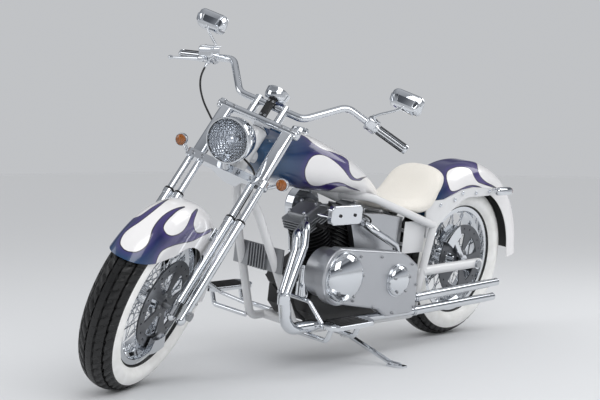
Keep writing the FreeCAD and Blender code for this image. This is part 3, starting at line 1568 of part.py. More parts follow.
def cylinder_head(way):
    """A finned head with a rocker cover, on the barrel's axis."""
    low = d.barrel_foot + d.barrel_length + 2 * d.seat_gap
    high = low + d.head_block_height
    pieces = [rounded_block(d.rocker_half, d.rocker_half, high, high + d.rocker_height,
                            d.head_corner)]
    top_edges = [edge for edge in pieces[0].Edges
                 if min(v.Z for v in edge.Vertexes) > high + d.rocker_height / 2]
    pieces[0] = pieces[0].makeFillet(d.rocker_corner, top_edges)
    pitch = d.head_block_height / HEAD_FINS
    for index in range(HEAD_FINS):
        base = low + pitch * (index + 1) - d.fin_wall
        pieces.append(rounded_block(d.head_fin_half, d.head_fin_half, base, base + d.fin_wall,
                                    d.head_corner))
    core = rounded_block(d.head_block_half, d.head_block_half, low, high, d.head_corner)
    shape = core.multiFuse(pieces)
    shape.Placement = Placement(crank, Rotation(Y, way * float(d.vee_angle)))
    return shape


def head_room(way):
    low = d.barrel_foot + d.barrel_length
    high = low + d.head_block_height + d.rocker_height + d.seat_gap
    half = d.head_fin_half + d.seat_gap
    shape = rounded_block(half, half, low, high, d.head_corner)
    shape.Placement = Placement(crank, Rotation(Y, way * float(d.vee_angle)))
    return shape


shaped("cylinder_heads", Part.makeCompound([cylinder_head(1), cylinder_head(-1)]), parked)
heads_room = [head_room(1), head_room(-1)]

head_level = d.barrel_foot + d.barrel_length + d.head_block_height / 2


def head_spot(way, level, across, left):
    """A place at a level up a cylinder's axis, out across it and to the left."""
    return Vector(
        d.crank_ahead + way * (level * math.sin(vee) + across * math.cos(vee)), left,
        d.crank_up + level * math.cos(vee) - across * math.sin(vee))


timing_low = -d.case_right - d.seat_gap
timing = Part.makeCylinder(d.timing_radius, d.timing_depth, crank + Y * timing_low, -Y)
timing_rim = [edge for edge in timing.Edges
              if max(v.Y for v in edge.Vertexes) < timing_low - d.timing_depth / 2]
timing = timing.makeFillet(d.timing_corner, timing_rim)
shaped("timing_cover", timing, parked)

intake = Vector(d.crank_ahead, 0, d.intake_up)
cleaner = Part.makeCylinder(d.cleaner_radius, d.cleaner_depth, intake - Y * d.cleaner_right, -Y)
cleaner_rim = [edge for edge in cleaner.Edges
               if max(v.Y for v in edge.Vertexes) < -d.cleaner_right - d.cleaner_depth / 2]
cleaner = cleaner.makeFillet(d.timing_corner, cleaner_rim)
throat = bar(intake - Y * (d.cleaner_right + d.overrun), intake + Y * d.intake_radius,
             d.intake_radius)
intake_pieces = [throat]
for way in SIDES:
    intake_pieces.append(bar(intake, head_spot(way, head_level, -d.head_block_half, 0.0),
                             d.manifold_radius))
barrel_top = d.barrel_foot + d.barrel_length + d.seat_gap
barrels_room = [bar(crank, head_spot(way, barrel_top, 0.0, 0.0), d.fin_radius + d.seat_gap)
                for way in SIDES]
intake_shape = cleaner.multiFuse(intake_pieces).cut(heads_room + barrels_room)
shaped("air_cleaner", biggest(intake_shape), parked)

filter_place = Placement(Vector(d.case_front_ahead + d.seat_gap, d.filter_left, d.filter_up),
                         Rotation(Y, 90))
filter_near = d.filter_length - d.filter_corner
turned("oil_filter", [
    (0, 0), (d.filter_radius * 0.8, 0), (d.filter_radius * 0.8, d.filter_corner),
    (d.filter_radius, d.filter_corner), (d.filter_radius, filter_near),
    (d.filter_radius - d.filter_corner, d.filter_length), (0, d.filter_length)],
    filter_place, parked)

starter_ahead = d.case_front_ahead + d.seat_gap + d.starter_radius
turned("starter_motor", [
    (0, 0), (d.starter_radius * 0.8, 0), (d.starter_radius, d.starter_cap),
    (d.starter_radius, d.starter_height), (d.starter_radius * 0.86, d.starter_height),
    (d.starter_radius * 0.86, d.starter_height + d.starter_cap),
    (0, d.starter_height + d.starter_cap)],
    at(starter_ahead, d.starter_left, d.starter_low_up), parked)

REGULATOR_FINS = 7
regulator_back = d.regulator_ahead - d.regulator_wall / 2
regulator_low = d.regulator_up - d.regulator_height / 2
regulator_pieces = [block(Vector(regulator_back, -d.down_bend_left * 2, regulator_low),
                          Vector(regulator_back + d.regulator_wall, d.down_bend_left * 2,
                                 regulator_low + d.regulator_height))]
regulator_pitch = d.down_bend_left * 1.6 / REGULATOR_FINS
for index in range(REGULATOR_FINS):
    left = regulator_pitch * (index - (REGULATOR_FINS - 1) / 2)
    regulator_pieces.append(block(
        Vector(regulator_back, left - d.fin_wall / 2, regulator_low),
        Vector(regulator_back + d.regulator_fin_depth, left + d.fin_wall / 2,
               regulator_low + d.regulator_height)))
regulator_shape = regulator_pieces[0].multiFuse(regulator_pieces[1:]).cut(frame_room)
shaped("regulator", biggest(regulator_shape), parked)

# Exhaust: two pipes from the front head into a collector, one from the rear head

rear_r = d.rear_dome_radius
port_level = d.barrel_foot + d.barrel_length + d.head_block_height * 0.82
port_up = d.crank_up + head_level * math.cos(vee)
collector_top = Vector(d.pedal_ahead + d.board_half_width * 2, d.muffler_left - d.header_radius,
                       d.post_foot_up + d.muffler_left / 2)
collector_bend = Vector(collector_top.x - d.link_pipe_radius, d.muffler_left,
                        d.lower_muffler_up + d.link_pipe_radius / 2)
collector_end = collector_bend + Vector(-d.board_half_length, 0, 0)
lower_joint = Vector(d.muffler_front_ahead, d.muffler_left, d.lower_muffler_up)
upper_joint = Vector(d.muffler_front_ahead, d.muffler_left, d.upper_muffler_up)
merge = d.header_radius * 1.1


def front_pipes(extra):
    """Both front pipes, their collector, a reducer and the straight run to the lower muffler."""
    thin = d.link_pipe_radius - 2 * d.seat_gap + extra
    outer_pipe = bent_tube([
        head_spot(1, port_level, d.head_fin_half / 2, d.head_fin_half / 2),
        Vector(collector_top.x - merge * 6.2, d.case_left, port_up - merge * 1.4),
        Vector(collector_top.x - merge * 4.6, d.case_left + merge * 1.6, port_up - merge * 4.5),
        collector_top + Vector(merge * 0.7, 0, 0),
        collector_top + Vector(merge * 0.6, merge * 0.1, -merge * 2)],
        d.header_bend, d.header_radius + extra)
    inner_pipe = bent_tube([
        head_spot(1, port_level, d.head_fin_half / 8, d.head_fin_half / 4),
        Vector(collector_top.x - merge * 9.2, d.case_left, port_up + merge * 0.3),
        Vector(collector_top.x - merge * 7.4, d.case_left + merge * 1.6, port_up - merge * 3.9),
        collector_top + Vector(-merge * 0.9, 0, 0),
        collector_top + Vector(-merge * 0.6, merge * 0.1, -merge * 2)],
        d.header_bend, d.header_radius + extra)
    collector = bent_tube([collector_top, collector_bend, collector_end], d.collector_bend,
                          d.collector_radius + extra)
    reducer = Part.makeCone(d.collector_radius + extra, thin * 0.9, d.collector_bend,
                            collector_end, -X)
    return [outer_pipe, inner_pipe, collector, reducer,
            bar(collector_end, lower_joint - X * d.muffler_grip, thin)]


def rear_pipe(extra):
    """The rear head's pipe, behind the drive cover and down to the upper muffler."""
    left = (d.case_left + d.cover_back_left) / 2
    return bent_tube([
        head_spot(-1, port_level, -d.head_fin_half / 2, d.head_block_half * 0.4),
        Vector(d.rear_dome_ahead + rear_r * 1.5, left, port_up - d.header_radius * 1.3),
        Vector(d.case_rear_ahead + d.header_radius, left, d.case_rear_up + d.header_bend * 1.6),
        Vector(d.case_rear_ahead - d.header_bend * 0.8, left,
               d.case_rear_up - d.header_bend / 2),
        Vector(upper_joint.x + d.header_bend, d.muffler_left, d.upper_muffler_up),
        upper_joint - X * d.muffler_grip],
        d.header_bend, d.link_pipe_radius - 2 * d.seat_gap + extra)


front_headers = front_pipes(0.0)
front_headers = biggest(front_headers[0].multiFuse(front_headers[1:]).cut(heads_room))
rear_header = biggest(rear_pipe(0.0).cut(heads_room))
shaped("exhaust_headers", Part.makeCompound([front_headers, rear_header]), parked)
pipe_gap = 2 * d.bearing_gap
pipe_room = front_pipes(pipe_gap) + [rear_pipe(pipe_gap)]


def muffler(front, end):
    """A slim straight silencer, slipped over its pipe, with a turned-down open tail."""
    line = (end - front).normalize()
    shoulder = end - line * d.muffler_tail_length
    tail = bar(shoulder - line * d.overrun, end, d.muffler_tail_radius)
    body = bar(front, shoulder, d.muffler_radius).fuse(tail)
    socket = Part.makeCylinder(d.link_pipe_radius, d.muffler_grip + d.overrun, front
                               - line * d.overrun / 2, line)
    mouth = Part.makeCylinder(d.muffler_bore, d.muffler_mouth, end, -line)
    return body.cut([socket, mouth])


mufflers = [
    muffler(upper_joint, Vector(d.upper_muffler_end_ahead, d.muffler_left,
                                d.upper_muffler_end_up)),
    muffler(lower_joint, Vector(d.lower_muffler_end_ahead, d.muffler_left,
                                d.lower_muffler_end_up)),
]
shaped("mufflers", Part.makeCompound(mufflers), parked)

# Drive cover with its two polished domes, on the left of the engine

cover_nose = Vector(d.front_dome_ahead, 0, d.front_dome_up)
nose = d.cover_nose_radius
cover_points = [
    (cover_nose.x + nose * 0.17, cover_nose.z + nose * 0.985),
    (cover_nose.x - nose * 0.17, cover_nose.z - nose * 0.985,
     (cover_nose.x + nose, cover_nose.z)),
    (d.rear_dome_ahead + rear_r * 1.5, d.rear_dome_up - rear_r * 1.63),
    (d.rear_dome_ahead + rear_r * 0.6, d.rear_dome_up - rear_r * 2.15),
    (d.rear_dome_ahead - rear_r * 1.5, d.rear_dome_up - rear_r * 2.18),
    (d.rear_dome_ahead - rear_r * 2.17, d.rear_dome_up - rear_r * 1.6,
     (d.rear_dome_ahead - rear_r * 2.0, d.rear_dome_up - rear_r * 2.0)),
    (d.rear_dome_ahead - rear_r * 2.0, d.rear_dome_up + rear_r * 0.75),
    (d.rear_dome_ahead - rear_r * 0.9, d.rear_dome_up + rear_r * 1.42),
    (d.rear_dome_ahead - rear_r * 0.2, d.rear_dome_up + rear_r * 1.66),
]
cover_body = new_body("drive_cover_plate")
pad(cover_body, outline(cover_body, "XZ_Plane", cover_points, -d.cover_face_left),
    d.cover_face_left - d.cover_back_left)
cover_plate = finished_shape(cover_body)
cover_rim = [edge for edge in cover_plate.Edges
             if min(v.Y for v in edge.Vertexes) > d.cover_face_left - d.cover_edge / 2]
cover_plate = cover_plate.makeFillet(d.cover_edge, cover_rim)
case_start = Vector(cover_nose.x, d.case_left + d.seat_gap, cover_nose.z)
inner_case = Part.makeCylinder(d.cover_case_radius, d.cover_back_left - case_start.y,
                               case_start, Y)
shaped("drive_cover", biggest(cover_plate.fuse(inner_case).cut(pipe_room)), parked)

domes = []
for name in ("front", "rear"):
    radius = getattr(d, name + "_dome_radius")
    height = getattr(d, name + "_dome_height")
    dome = turned_body(name + "_dome", [
        (0, 0), (radius, 0), (radius, d.dome_lip), crown(radius, d.dome_lip, height)])
    dome.Placement = Placement(
        Vector(getattr(d, name + "_dome_ahead"), d.cover_face_left + d.seat_gap,
               getattr(d, name + "_dome_up")), Rotation(X, -90))
    domes.append(dome)
group("cover_domes", domes, parked)

# Coil cover, oil tank and side panels

coil_low = Vector(d.coil_cover_ahead, d.coil_cover_left, d.coil_cover_up)
coil_box = block(coil_low, coil_low + Vector(d.coil_cover_length, d.coil_cover_depth,
                                             d.coil_cover_height))
coil_corners = [edge for edge in coil_box.Edges
                if abs(edge.Vertexes[0].Y - edge.Vertexes[1].Y) > d.coil_cover_depth / 2]
coil_box = coil_box.makeFillet(d.coil_cover_corner, coil_corners)
coil_face = [edge for edge in coil_box.Edges
             if min(v.Y for v in edge.Vertexes) > coil_low.y + d.coil_cover_depth / 2]
coil_box = coil_box.makeFillet(d.coil_cover_depth / 4, coil_face)
coil_studs = []
for share in (0.28, 0.85):
    spot = coil_low + Vector(d.coil_cover_length * share, 1.0 * d.overrun / 2,
                             d.coil_cover_height * 0.35)
    coil_studs.append(bar(spot, Vector(spot.x, 0, spot.z), d.coil_stud_radius).cut(heads_room))
coil_studs = [max(stud.Solids, key=lambda solid: solid.BoundBox.YMax) for stud in coil_studs]
coil_studs = [stud for stud in coil_studs if stud.BoundBox.YMin > d.head_block_half / 2]
shaped("coil_cover", coil_box.multiFuse(coil_studs), parked)


def oil_tank():
    """A horseshoe tank: round behind, with an arm along each side of the rear cylinder."""
    outer = d.oil_tank_radius
    inner = outer - d.oil_tank_arm_wall
    centre = Vector(d.oil_tank_ahead, 0, d.oil_tank_low_up)
    height = d.oil_tank_high_up - d.oil_tank_low_up
    drum = Part.makeCylinder(outer, height, centre)
    arms = block(Vector(centre.x, -outer, centre.z),
                 Vector(d.oil_tank_arm_ahead, outer, d.oil_tank_high_up))
    hollow_start = centre.x + inner * 0.5
    hollow = block(Vector(hollow_start, -inner, centre.z - d.overrun),
                   Vector(d.oil_tank_arm_ahead + d.overrun, inner,
                          d.oil_tank_high_up + d.overrun))
    side = [
        (centre.x - outer, d.oil_tank_low_up), (d.oil_tank_arm_ahead - outer * 0.62,
                                                d.oil_tank_low_up),
        (d.oil_tank_arm_ahead, d.oil_tank_high_up), (d.rail_front_ahead - outer, d.tank_low_up
                                                     - d.oil_tank_arm_wall * 1.4),
        (centre.x - outer, d.seat_low_up - d.oil_tank_arm_wall * 0.6),
    ]
    return drum.fuse(arms).cut(hollow).common(prism(side, -2 * outer, 4 * outer))


oil_tank_shape = oil_tank()
belt_room = block(Vector(0, -2 * d.belt_right, 0),
                  Vector(d.case_front_ahead, -d.case_right, d.oil_tank_low_up
                         + 2 * d.moving_gap))
throat_room = block(Vector(d.crank_ahead - 2 * d.intake_radius, -2 * d.oil_tank_radius, 0),
                    Vector(d.case_front_ahead, 0, 2 * d.intake_up))
shaped("oil_tank", biggest(oil_tank_shape.cut(
    frame_room + [seat_shape, belt_room, throat_room] + pipe_room)), parked)

panel_low = Vector(d.panel_rear_ahead, d.panel_left, d.panel_low_up)
panel = block(panel_low, panel_low + Vector(d.panel_length, d.panel_wall, d.panel_height))
panel_studs = []
for share in (0.25, 0.72):
    spot = panel_low + Vector(d.panel_length * 0.84, 0, d.panel_height * share)
    panel_studs.append(bar(spot, Vector(spot.x, 0, spot.z), d.panel_stud_radius))
tank_room = Part.makeCylinder(d.oil_tank_radius + d.seat_gap, d.oil_tank_high_up,
                              Vector(d.oil_tank_ahead, 0, 0))
panel_shape = biggest(panel.multiFuse(panel_studs).cut([tank_room] + frame_room))
shaped("side_panels", both_sides(panel_shape), parked)

# Final belt on the right, a closed loop round both pulleys


def belt_loop(first, first_radius, second, second_radius):
    """The outline of a taut band round two pulleys, as one face."""
    line = second - first
    lift = math.asin((first_radius - second_radius) / line.Length)
    base = math.atan2(line.z, line.x)
    spots = []
    for sign in SIDES:
        angle = base + sign * (math.pi / 2 - lift)
        out = Vector(math.cos(angle), 0, math.sin(angle))
        spots.append((first + out * first_radius, second + out * second_radius))
    away = Vector(math.cos(base), 0, math.sin(base))
    edges = [
        Part.LineSegment(spots[0][0], spots[0][1]).toShape(),
        Part.Arc(spots[0][1], second + away * second_radius, spots[1][1]).toShape(),
        Part.LineSegment(spots[1][1], spots[1][0]).toShape(),
        Part.Arc(spots[1][0], first - away * first_radius, spots[0][0]).toShape(),
    ]
    return Part.Face(Part.Wire(edges))


belt_edge = Vector(0, -d.belt_right - d.belt_width / 2, 0)
rear_pulley_centre = rear_axle_point + belt_edge
front_pulley_centre = pulley_centre + belt_edge
band = []
for wall in (d.belt_wall, 0.0):
    face = belt_loop(rear_pulley_centre, d.pulley_radius + d.seat_gap + wall,
                     front_pulley_centre, d.front_pulley_radius + d.seat_gap + wall)
    band.append(face.extrude(Y * d.belt_width))
shaped("final_belt", band[0].cut(band[1]), parked)

# Floorboards, brake pedal and side stand

BOARD_ROUND_SHARE = 0.3


def board():
    """The left floorboard, rounded at both ends, on two arms from the cradle tube."""
    half_length, half_width = d.board_half_length, d.board_half_width
    straight = half_length * (1 - BOARD_ROUND_SHARE)
    body = new_body("board")
    points = [
        (-straight, -half_width), (straight, -half_width),
        (straight, half_width, (half_length, 0.0)), (-straight, half_width),
    ]
    points[0] = (-straight, -half_width, (-half_length, 0.0))
    pad(body, outline(body, "XY_Plane", points), d.board_wall)
    plate = finished_shape(body)
    rim_edges = [edge for edge in plate.Edges
                 if min(v.Z for v in edge.Vertexes) > d.board_wall / 2]
    plate = plate.makeFillet(d.board_wall / 4, rim_edges)
    plate.translate(Vector(d.board_ahead, d.board_left, d.board_up))
    pieces = []
    for way in SIDES:
        ahead = d.board_ahead + way * d.board_arm_spread
        level = d.cradle_up + d.board_arm_rise
        pieces.append(bent_tube([
            Vector(ahead, cradle_left(ahead), level),
            Vector(ahead, d.board_left - half_width / 2, level),
            Vector(ahead, d.board_left, d.board_up + d.board_wall / 2)],
            d.board_arm_radius * 2, d.board_arm_radius))
    return plate.multiFuse(pieces)


case_side = block(Vector(d.case_rear_ahead, 0, case_low - d.seat_gap),
                  Vector(d.case_front_ahead + d.overrun, d.case_left + d.seat_gap,
                         case_low + d.overrun))
board_shape = biggest(board().cut(frame_room + [case_side]))
stay_foot = Vector(d.board_ahead + d.board_half_length * 0.86, d.board_left - d.board_half_width
                   * 0.5, d.board_up + d.board_wall / 2)
stay_line = [
    Vector(collector_top.x - d.collector_radius * 3.2, d.cradle_front_left * 0.84,
           d.front_dome_up - d.front_dome_radius * 0.68),
    Vector(stay_foot.x + d.board_wall, d.muffler_left + d.collector_radius,
           d.front_dome_up - d.front_dome_radius * 0.8),
    stay_foot,
]
stay = bent_tube(stay_line, d.board_stay_radius * 3, d.board_stay_radius)
left_board = biggest(board_shape.fuse(stay.cut(frame_room)))
shaped("floorboards", Part.makeCompound([left_board, mirrored(board_shape)]), parked)

pedal_low = Vector(d.pedal_ahead, -d.pedal_left - d.pedal_width / 2, d.pedal_up)
pedal_plate = block(pedal_low, pedal_low + Vector(d.pedal_length, d.pedal_width, d.pedal_wall))
pedal_plate = pedal_plate.makeFillet(d.pedal_wall / 4, pedal_plate.Edges)
pedal_arm = bent_tube([
    Vector(d.cradle_front_ahead + d.frame_tube_radius, -d.cradle_front_left,
           d.cradle_up + d.frame_tube_radius * 3),
    Vector(d.cradle_front_ahead + d.frame_tube_radius * 2, -d.pedal_left + d.pedal_width,
           d.cradle_up + d.frame_tube_radius * 4),
    Vector(d.pedal_ahead + d.pedal_length / 2, -d.pedal_left, d.pedal_up + d.pedal_wall / 2)],
    d.frame_tube_radius, d.pedal_arm_radius)
pedal_shape = pedal_plate.fuse(biggest(pedal_arm.cut(frame_room)))
shaped("brake_pedal", pedal_shape, parked)


def side_stand():
    """Eye, bent leg and flat foot, standing on the floor."""
    eye = bar(stand_pivot - stand_axis * (d.stand_eye_width / 2),
              stand_pivot + stand_axis * (d.stand_eye_width / 2), d.stand_eye_radius)
    outward = Vector(stand_foot.x - stand_pivot.x, stand_foot.y - stand_pivot.y, 0).normalize()
    across = Vector(-outward.y, outward.x, 0)
    heel = stand_foot - outward * (d.stand_foot_length * 0.35)
    heel = Vector(heel.x, heel.y, d.stand_foot_wall + d.stand_leg_radius * 0.4)
    drop = (heel - stand_pivot).normalize()
    neck_end = stand_pivot + drop * (d.stand_eye_radius * 2)
    neck = bar(stand_pivot, neck_end, d.stand_eye_width / 2)
    leg = bent_tube([neck_end, heel, stand_foot + outward * (d.stand_foot_length * 0.2)],
                    d.stand_foot_length, d.stand_leg_radius)
    half_length, half_width = d.stand_foot_length / 2, d.stand_foot_width / 2
    corners = []
    for along, wide in ((-1, -0.6), (0.4, -1), (1, -0.5), (1, 0.5), (0.4, 1), (-1, 0.6)):
        spot = stand_foot + outward * (half_length * along) + across * (half_width * wide)
        corners.append(Vector(spot.x, spot.y, 0))
    foot = Part.Face(Part.makePolygon(corners + corners[:1])).extrude(Z * d.stand_foot_wall)
    under = block(Vector(stand_foot.x, stand_foot.y, 0) - Vector(1, 1, 1) * d.board_left,
                  Vector(stand_foot.x + d.board_left, stand_foot.y + d.board_left, 0))
    bore = bar(stand_pivot - stand_axis * d.stand_eye_width,
               stand_pivot + stand_axis * d.stand_eye_width, d.stand_pin_radius + d.running_gap)
    return eye.multiFuse([neck, leg, foot]).cut([under, bore])


shaped("side_stand", side_stand(), Placement())

# Write each node

document.recompute()
for feature in document.Objects:
    if {"Invalid", "Error"} & set(feature.State):
        raise RuntimeError(feature.Label + " could not be built")
for feature in nodes:
    if feature.Shape.isNull() or not feature.Shape.isValid():
        raise RuntimeError(feature.Label + " has no valid shape")
for feature in nodes:
    feature.Shape.exportStep(f"parts/{feature.Label}.step")
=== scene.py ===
import contextlib
import json
import math

import bpy
import numpy as np
from mathutils import Matrix, Vector


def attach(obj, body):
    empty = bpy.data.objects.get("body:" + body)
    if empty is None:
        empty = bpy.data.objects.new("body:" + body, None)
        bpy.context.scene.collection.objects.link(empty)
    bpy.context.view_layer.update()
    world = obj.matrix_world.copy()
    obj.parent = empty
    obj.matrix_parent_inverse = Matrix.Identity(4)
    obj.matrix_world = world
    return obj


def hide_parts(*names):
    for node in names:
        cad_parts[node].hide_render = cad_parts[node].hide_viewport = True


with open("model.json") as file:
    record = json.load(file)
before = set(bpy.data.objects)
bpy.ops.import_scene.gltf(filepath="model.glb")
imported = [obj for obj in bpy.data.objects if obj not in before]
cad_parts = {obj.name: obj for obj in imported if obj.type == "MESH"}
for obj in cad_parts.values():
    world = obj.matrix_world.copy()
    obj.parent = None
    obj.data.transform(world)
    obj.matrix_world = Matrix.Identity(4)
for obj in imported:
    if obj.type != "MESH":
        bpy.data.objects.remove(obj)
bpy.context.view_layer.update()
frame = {"nodes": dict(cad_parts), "record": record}

bl_info = {
    "name": "Chopper motorcycle looks",
    "version": (1, 0, 0),
    "blender": (4, 5, 0),
    "location": "3D View > Sidebar > Chopper",
    "description": "Dresses the packed chopper motorcycle in paint, chrome, rubber and leather",
    "category": "Object",
}

# Attitudes. Pieces are modelled in one of three upright frames, in metres, and carried into the
# row frame: the machine (origin under the rear axle), the steered machine, and the fork (Z up
# the steering axis, level zero at the front axle).

LEAN = math.radians(8.6)
PITCH = math.radians(0.33063)
RAKE = math.radians(36.4)
STEER = math.radians(25.0)
FORK_FOOT = Vector((1.614865, 0.0, 0.284773))
REAR_AXLE = Vector((0.0, 0.0, 0.325))
FRONT_AXLE = Vector((1.659940, 0.0, 0.318005))
FORK_OFFSET = 0.056

MACHINE = (Matrix.Translation((-0.7762, -0.117, 0.000837))
           @ Matrix.Rotation(PITCH, 4, "Y") @ Matrix.Rotation(-LEAN, 4, "X"))
HEAD = Matrix.Translation(FORK_FOOT) @ Matrix.Rotation(-RAKE, 4, "Y")
FORK = MACHINE @ HEAD @ Matrix.Rotation(STEER, 4, "Z")
STEERED = FORK @ HEAD.inverted()


def linear(code):
    """An sRGB hex colour as the linear numbers that shaders take."""
    parts = [int(code[i:i + 2], 16) / 255 for i in (0, 2, 4)]
    return tuple(p / 12.92 if p <= 0.04045 else ((p + 0.055) / 1.055) ** 2.4 for p in parts)


def colour_property(name, description, code):
    return bpy.props.FloatVectorProperty(name=name, description=description, subtype="COLOR",
                                         size=3, min=0.0, max=1.0, default=linear(code))


def length_property(name, description, value):
    return bpy.props.FloatProperty(name=name, description=description, default=value,
                                   min=0.0, unit="LENGTH", precision=4)


class ChopperColours(bpy.types.PropertyGroup):
    """Colours of paint, metal, rubber and leather."""
    pearl: colour_property("Pearl", "Light ground of the painted panels", "E6E5E6")
    indigo: colour_property("Indigo", "Deep flame colour on the tank", "10144E")
    teal: colour_property("Teal", "Flame colour at the leading edges", "0F4066")
    violet: colour_property("Violet", "Flame colour where it fades out", "3A2672")
    stripe: colour_property("Pinstripe", "Thin line round each flame", "17122B")
    powder: colour_property("Powder coat", "Frame, struts and swingarm", "DADBDD")
    chrome: colour_property("Chrome", "Plated parts", "E3E6EA")
    satin: colour_property("Satin silver", "Drive cover and oil tank", "C4C6CA")
    alloy: colour_property("Cast alloy", "Cylinder heads and regulator", "A4A6A9")
    steel: colour_property("Steel", "Axles, screws and bolts", "B4B6B9")
    disc: colour_property("Disc steel", "Brake discs and belt pulley", "6E7074")
    black: colour_property("Engine black", "Crankcase and barrels", "101012")
    rubber: colour_property("Rubber", "Tyre tread, grips, belt and pads", "141415")
    whitewall: colour_property("White wall", "Side walls of the tyres", "DEDEDA")
    ivory: colour_property("Ivory leather", "Saddle", "ECE8E0")
    amber: colour_property("Amber lens", "Front signals", "A8642A")
    red: colour_property("Red lens", "Tail lamp and rear signals", "8E1417")
    floor: colour_property("Floor", "Studio floor and background", "D5D7DA")


class ChopperSizes(bpy.types.PropertyGroup):
    """Sizes of what is modelled here."""
    fender_wall: length_property("Fender wall", "Thickness of the fenders' sheet", 0.003)
    tread_depth: length_property("Tread depth", "Depth of the tyres' grooves", 0.0045)
    seat_inset: length_property("Saddle inset", "How far inside its solid it starts", 0.005)
    seat_cap: length_property("Saddle swell", "How far the padding may move", 0.008)
    hose_diameter: length_property("Hose diameter", "Thickness of the brake hose", 0.007)
    stripe_width: length_property("Pinstripe width", "Width of the line round the flames", 0.003)


# Materials


def plug(tree, node, sockets):
    """Gives each socket its value, or links it to the output that feeds it."""
    for name, value in sockets.items():
        if isinstance(value, bpy.types.NodeSocket):
            tree.links.new(value, node.inputs[name])
        else:
            node.inputs[name].default_value = value


def add_node(tree, kind, sockets=None, **settings):
    """Adds a node with its settings, and a value or a feed for each socket that is named."""
    made = tree.nodes.new(kind)
    for name, value in settings.items():
        setattr(made, name, value)
    plug(tree, made, sockets or {})
    return made


def full(colour):
    return (*colour, 1.0)


def shade(colour, factor):
    return full(tuple(min(1.0, c * factor) for c in colour))


def new_material(name):
    """An empty material, its tree and its object coordinates."""
    material = bpy.data.materials.new(name)
    material.use_nodes = True
    tree = material.node_tree
    return material, tree, add_node(tree, "ShaderNodeTexCoord").outputs["Object"]


def dressed(material, **sockets):
    """The material, with values and feeds in its shader."""
    tree = material.node_tree
    plug(tree, tree.nodes["Principled BSDF"],
         {name.replace("_", " "): value for name, value in sockets.items()})
    return material


def grain(tree, place, per_metre, detail=2.0):
    """Noise of so many grains to the metre."""
    return add_node(tree, "ShaderNodeTexNoise", {"Vector": place, "Scale": per_metre,
                                                 "Detail": detail}).outputs["Fac"]


def calc(tree, operation, *terms):
    """What a Math node makes of its terms, each a number or a socket."""
    return add_node(tree, "ShaderNodeMath", dict(enumerate(terms)),
                    operation=operation).outputs[0]


def ramp_between(tree, factor, low, high):
    """A number that follows a pattern between two values."""
    return add_node(tree, "ShaderNodeMapRange", {"Value": factor, "To Min": low,
                                                 "To Max": high}).outputs["Result"]


def share_between(tree, number, low, high):
    """How far a number lies from a low to a high value, from 0 to 1."""
    return add_node(tree, "ShaderNodeMapRange", {"Value": number, "From Min": low,
                                                 "From Max": high}).outputs["Result"]


def bump(tree, height, distance, strength):
    """The normals of a relief."""
    return add_node(tree, "ShaderNodeBump", {"Height": height, "Distance": distance,
                                             "Strength": strength}).outputs["Normal"]


def mixed(tree, factor, first, second):
    """Two colours mixed by a factor; each is a colour or a socket."""
    mix = add_node(tree, "ShaderNodeMix", {"Factor": factor}, data_type="RGBA")
    places = [i for i, socket in enumerate(mix.inputs) if socket.type == "RGBA"]
    plug(tree, mix, dict(zip(places, (first, second))))
    return next(s for s in mix.outputs if s.type == "RGBA")


def colour_ramp(tree, factor, stops):
    """A colour that follows a number through stops, each a position and a colour."""
    ramp = add_node(tree, "ShaderNodeValToRGB", {"Fac": factor})
    elements = ramp.color_ramp.elements
    for index, (position, colour) in ((0, stops[0]), (1, stops[-1])):
        elements[index].position, elements[index].color = position, full(colour)
    for position, colour in stops[1:-1]:
        elements.new(position).color = full(colour)
    return ramp.outputs["Color"]


def plain_metal(name, colour, roughness, per_metre, depth, spread):
    """Metal whose tone and gloss drift slightly over the surface, with a fine relief."""
    material, tree, place = new_material(name)
    drift = grain(tree, place, 9.0, 3.0)
    fine = grain(tree, place, per_metre, 3.0)
    return dressed(material, Base_Color=mixed(tree, drift, shade(colour, 0.9), full(colour)),
                   Roughness=ramp_between(tree, fine, roughness, roughness + spread),
                   Metallic=1.0, Normal=bump(tree, fine, depth, 0.3))


def turned_metal(name, colour, roughness, axis_frame):
    """Brake steel, ground in rings round the axle."""
    material, tree, place = new_material(name)
    inverse = axis_frame.inverted()
    local = add_node(tree, "ShaderNodeMapping", {
        "Vector": place, "Location": inverse.translation, "Rotation": inverse.to_euler("XYZ")})
    split = add_node(tree, "ShaderNodeSeparateXYZ", {"Vector": local.outputs["Vector"]})
    x, y = split.outputs["X"], split.outputs["Y"]
    squares = calc(tree, "ADD", calc(tree, "MULTIPLY", x, x), calc(tree, "MULTIPLY", y, y))
    rings = add_node(tree, "ShaderNodeTexNoise", {
        "W": calc(tree, "SQRT", squares), "Scale": 1400.0, "Detail": 1.0},
        noise_dimensions="1D").outputs["Fac"]
    return dressed(material, Metallic=1.0,
                   Base_Color=mixed(tree, rings, shade(colour, 0.72), shade(colour, 1.1)),
                   Roughness=ramp_between(tree, rings, roughness, roughness + 0.15))


def coated(name, colour, roughness, per_metre, depth, coat=0.6, coat_roughness=0.08):
    """Powder coat or enamel: orange peel under a thin gloss."""
    material, tree, place = new_material(name)
    drift = grain(tree, place, 6.0)
    peel = grain(tree, place, per_metre)
    return dressed(material,
                   Base_Color=mixed(tree, drift, shade(colour, 0.93), shade(colour, 1.02)),
                   Roughness=ramp_between(tree, peel, roughness, roughness + 0.08),
                   Coat_Weight=coat, Coat_Roughness=coat_roughness,
                   Normal=bump(tree, peel, depth, 0.35))


def rubber_material(name, colour, roughness=0.55, per_metre=700.0):
    """Moulded rubber: fine pores, a little dust in the hollows."""
    material, tree, place = new_material(name)
    pores = grain(tree, place, per_metre, 4.0)
    dust = grain(tree, place, 25.0, 3.0)
    return dressed(material, Base_Color=mixed(tree, dust, full(colour), shade(colour, 1.6)),
                   Roughness=ramp_between(tree, pores, roughness - 0.1, roughness + 0.1),
                   Normal=bump(tree, pores, 0.0003, 0.4))


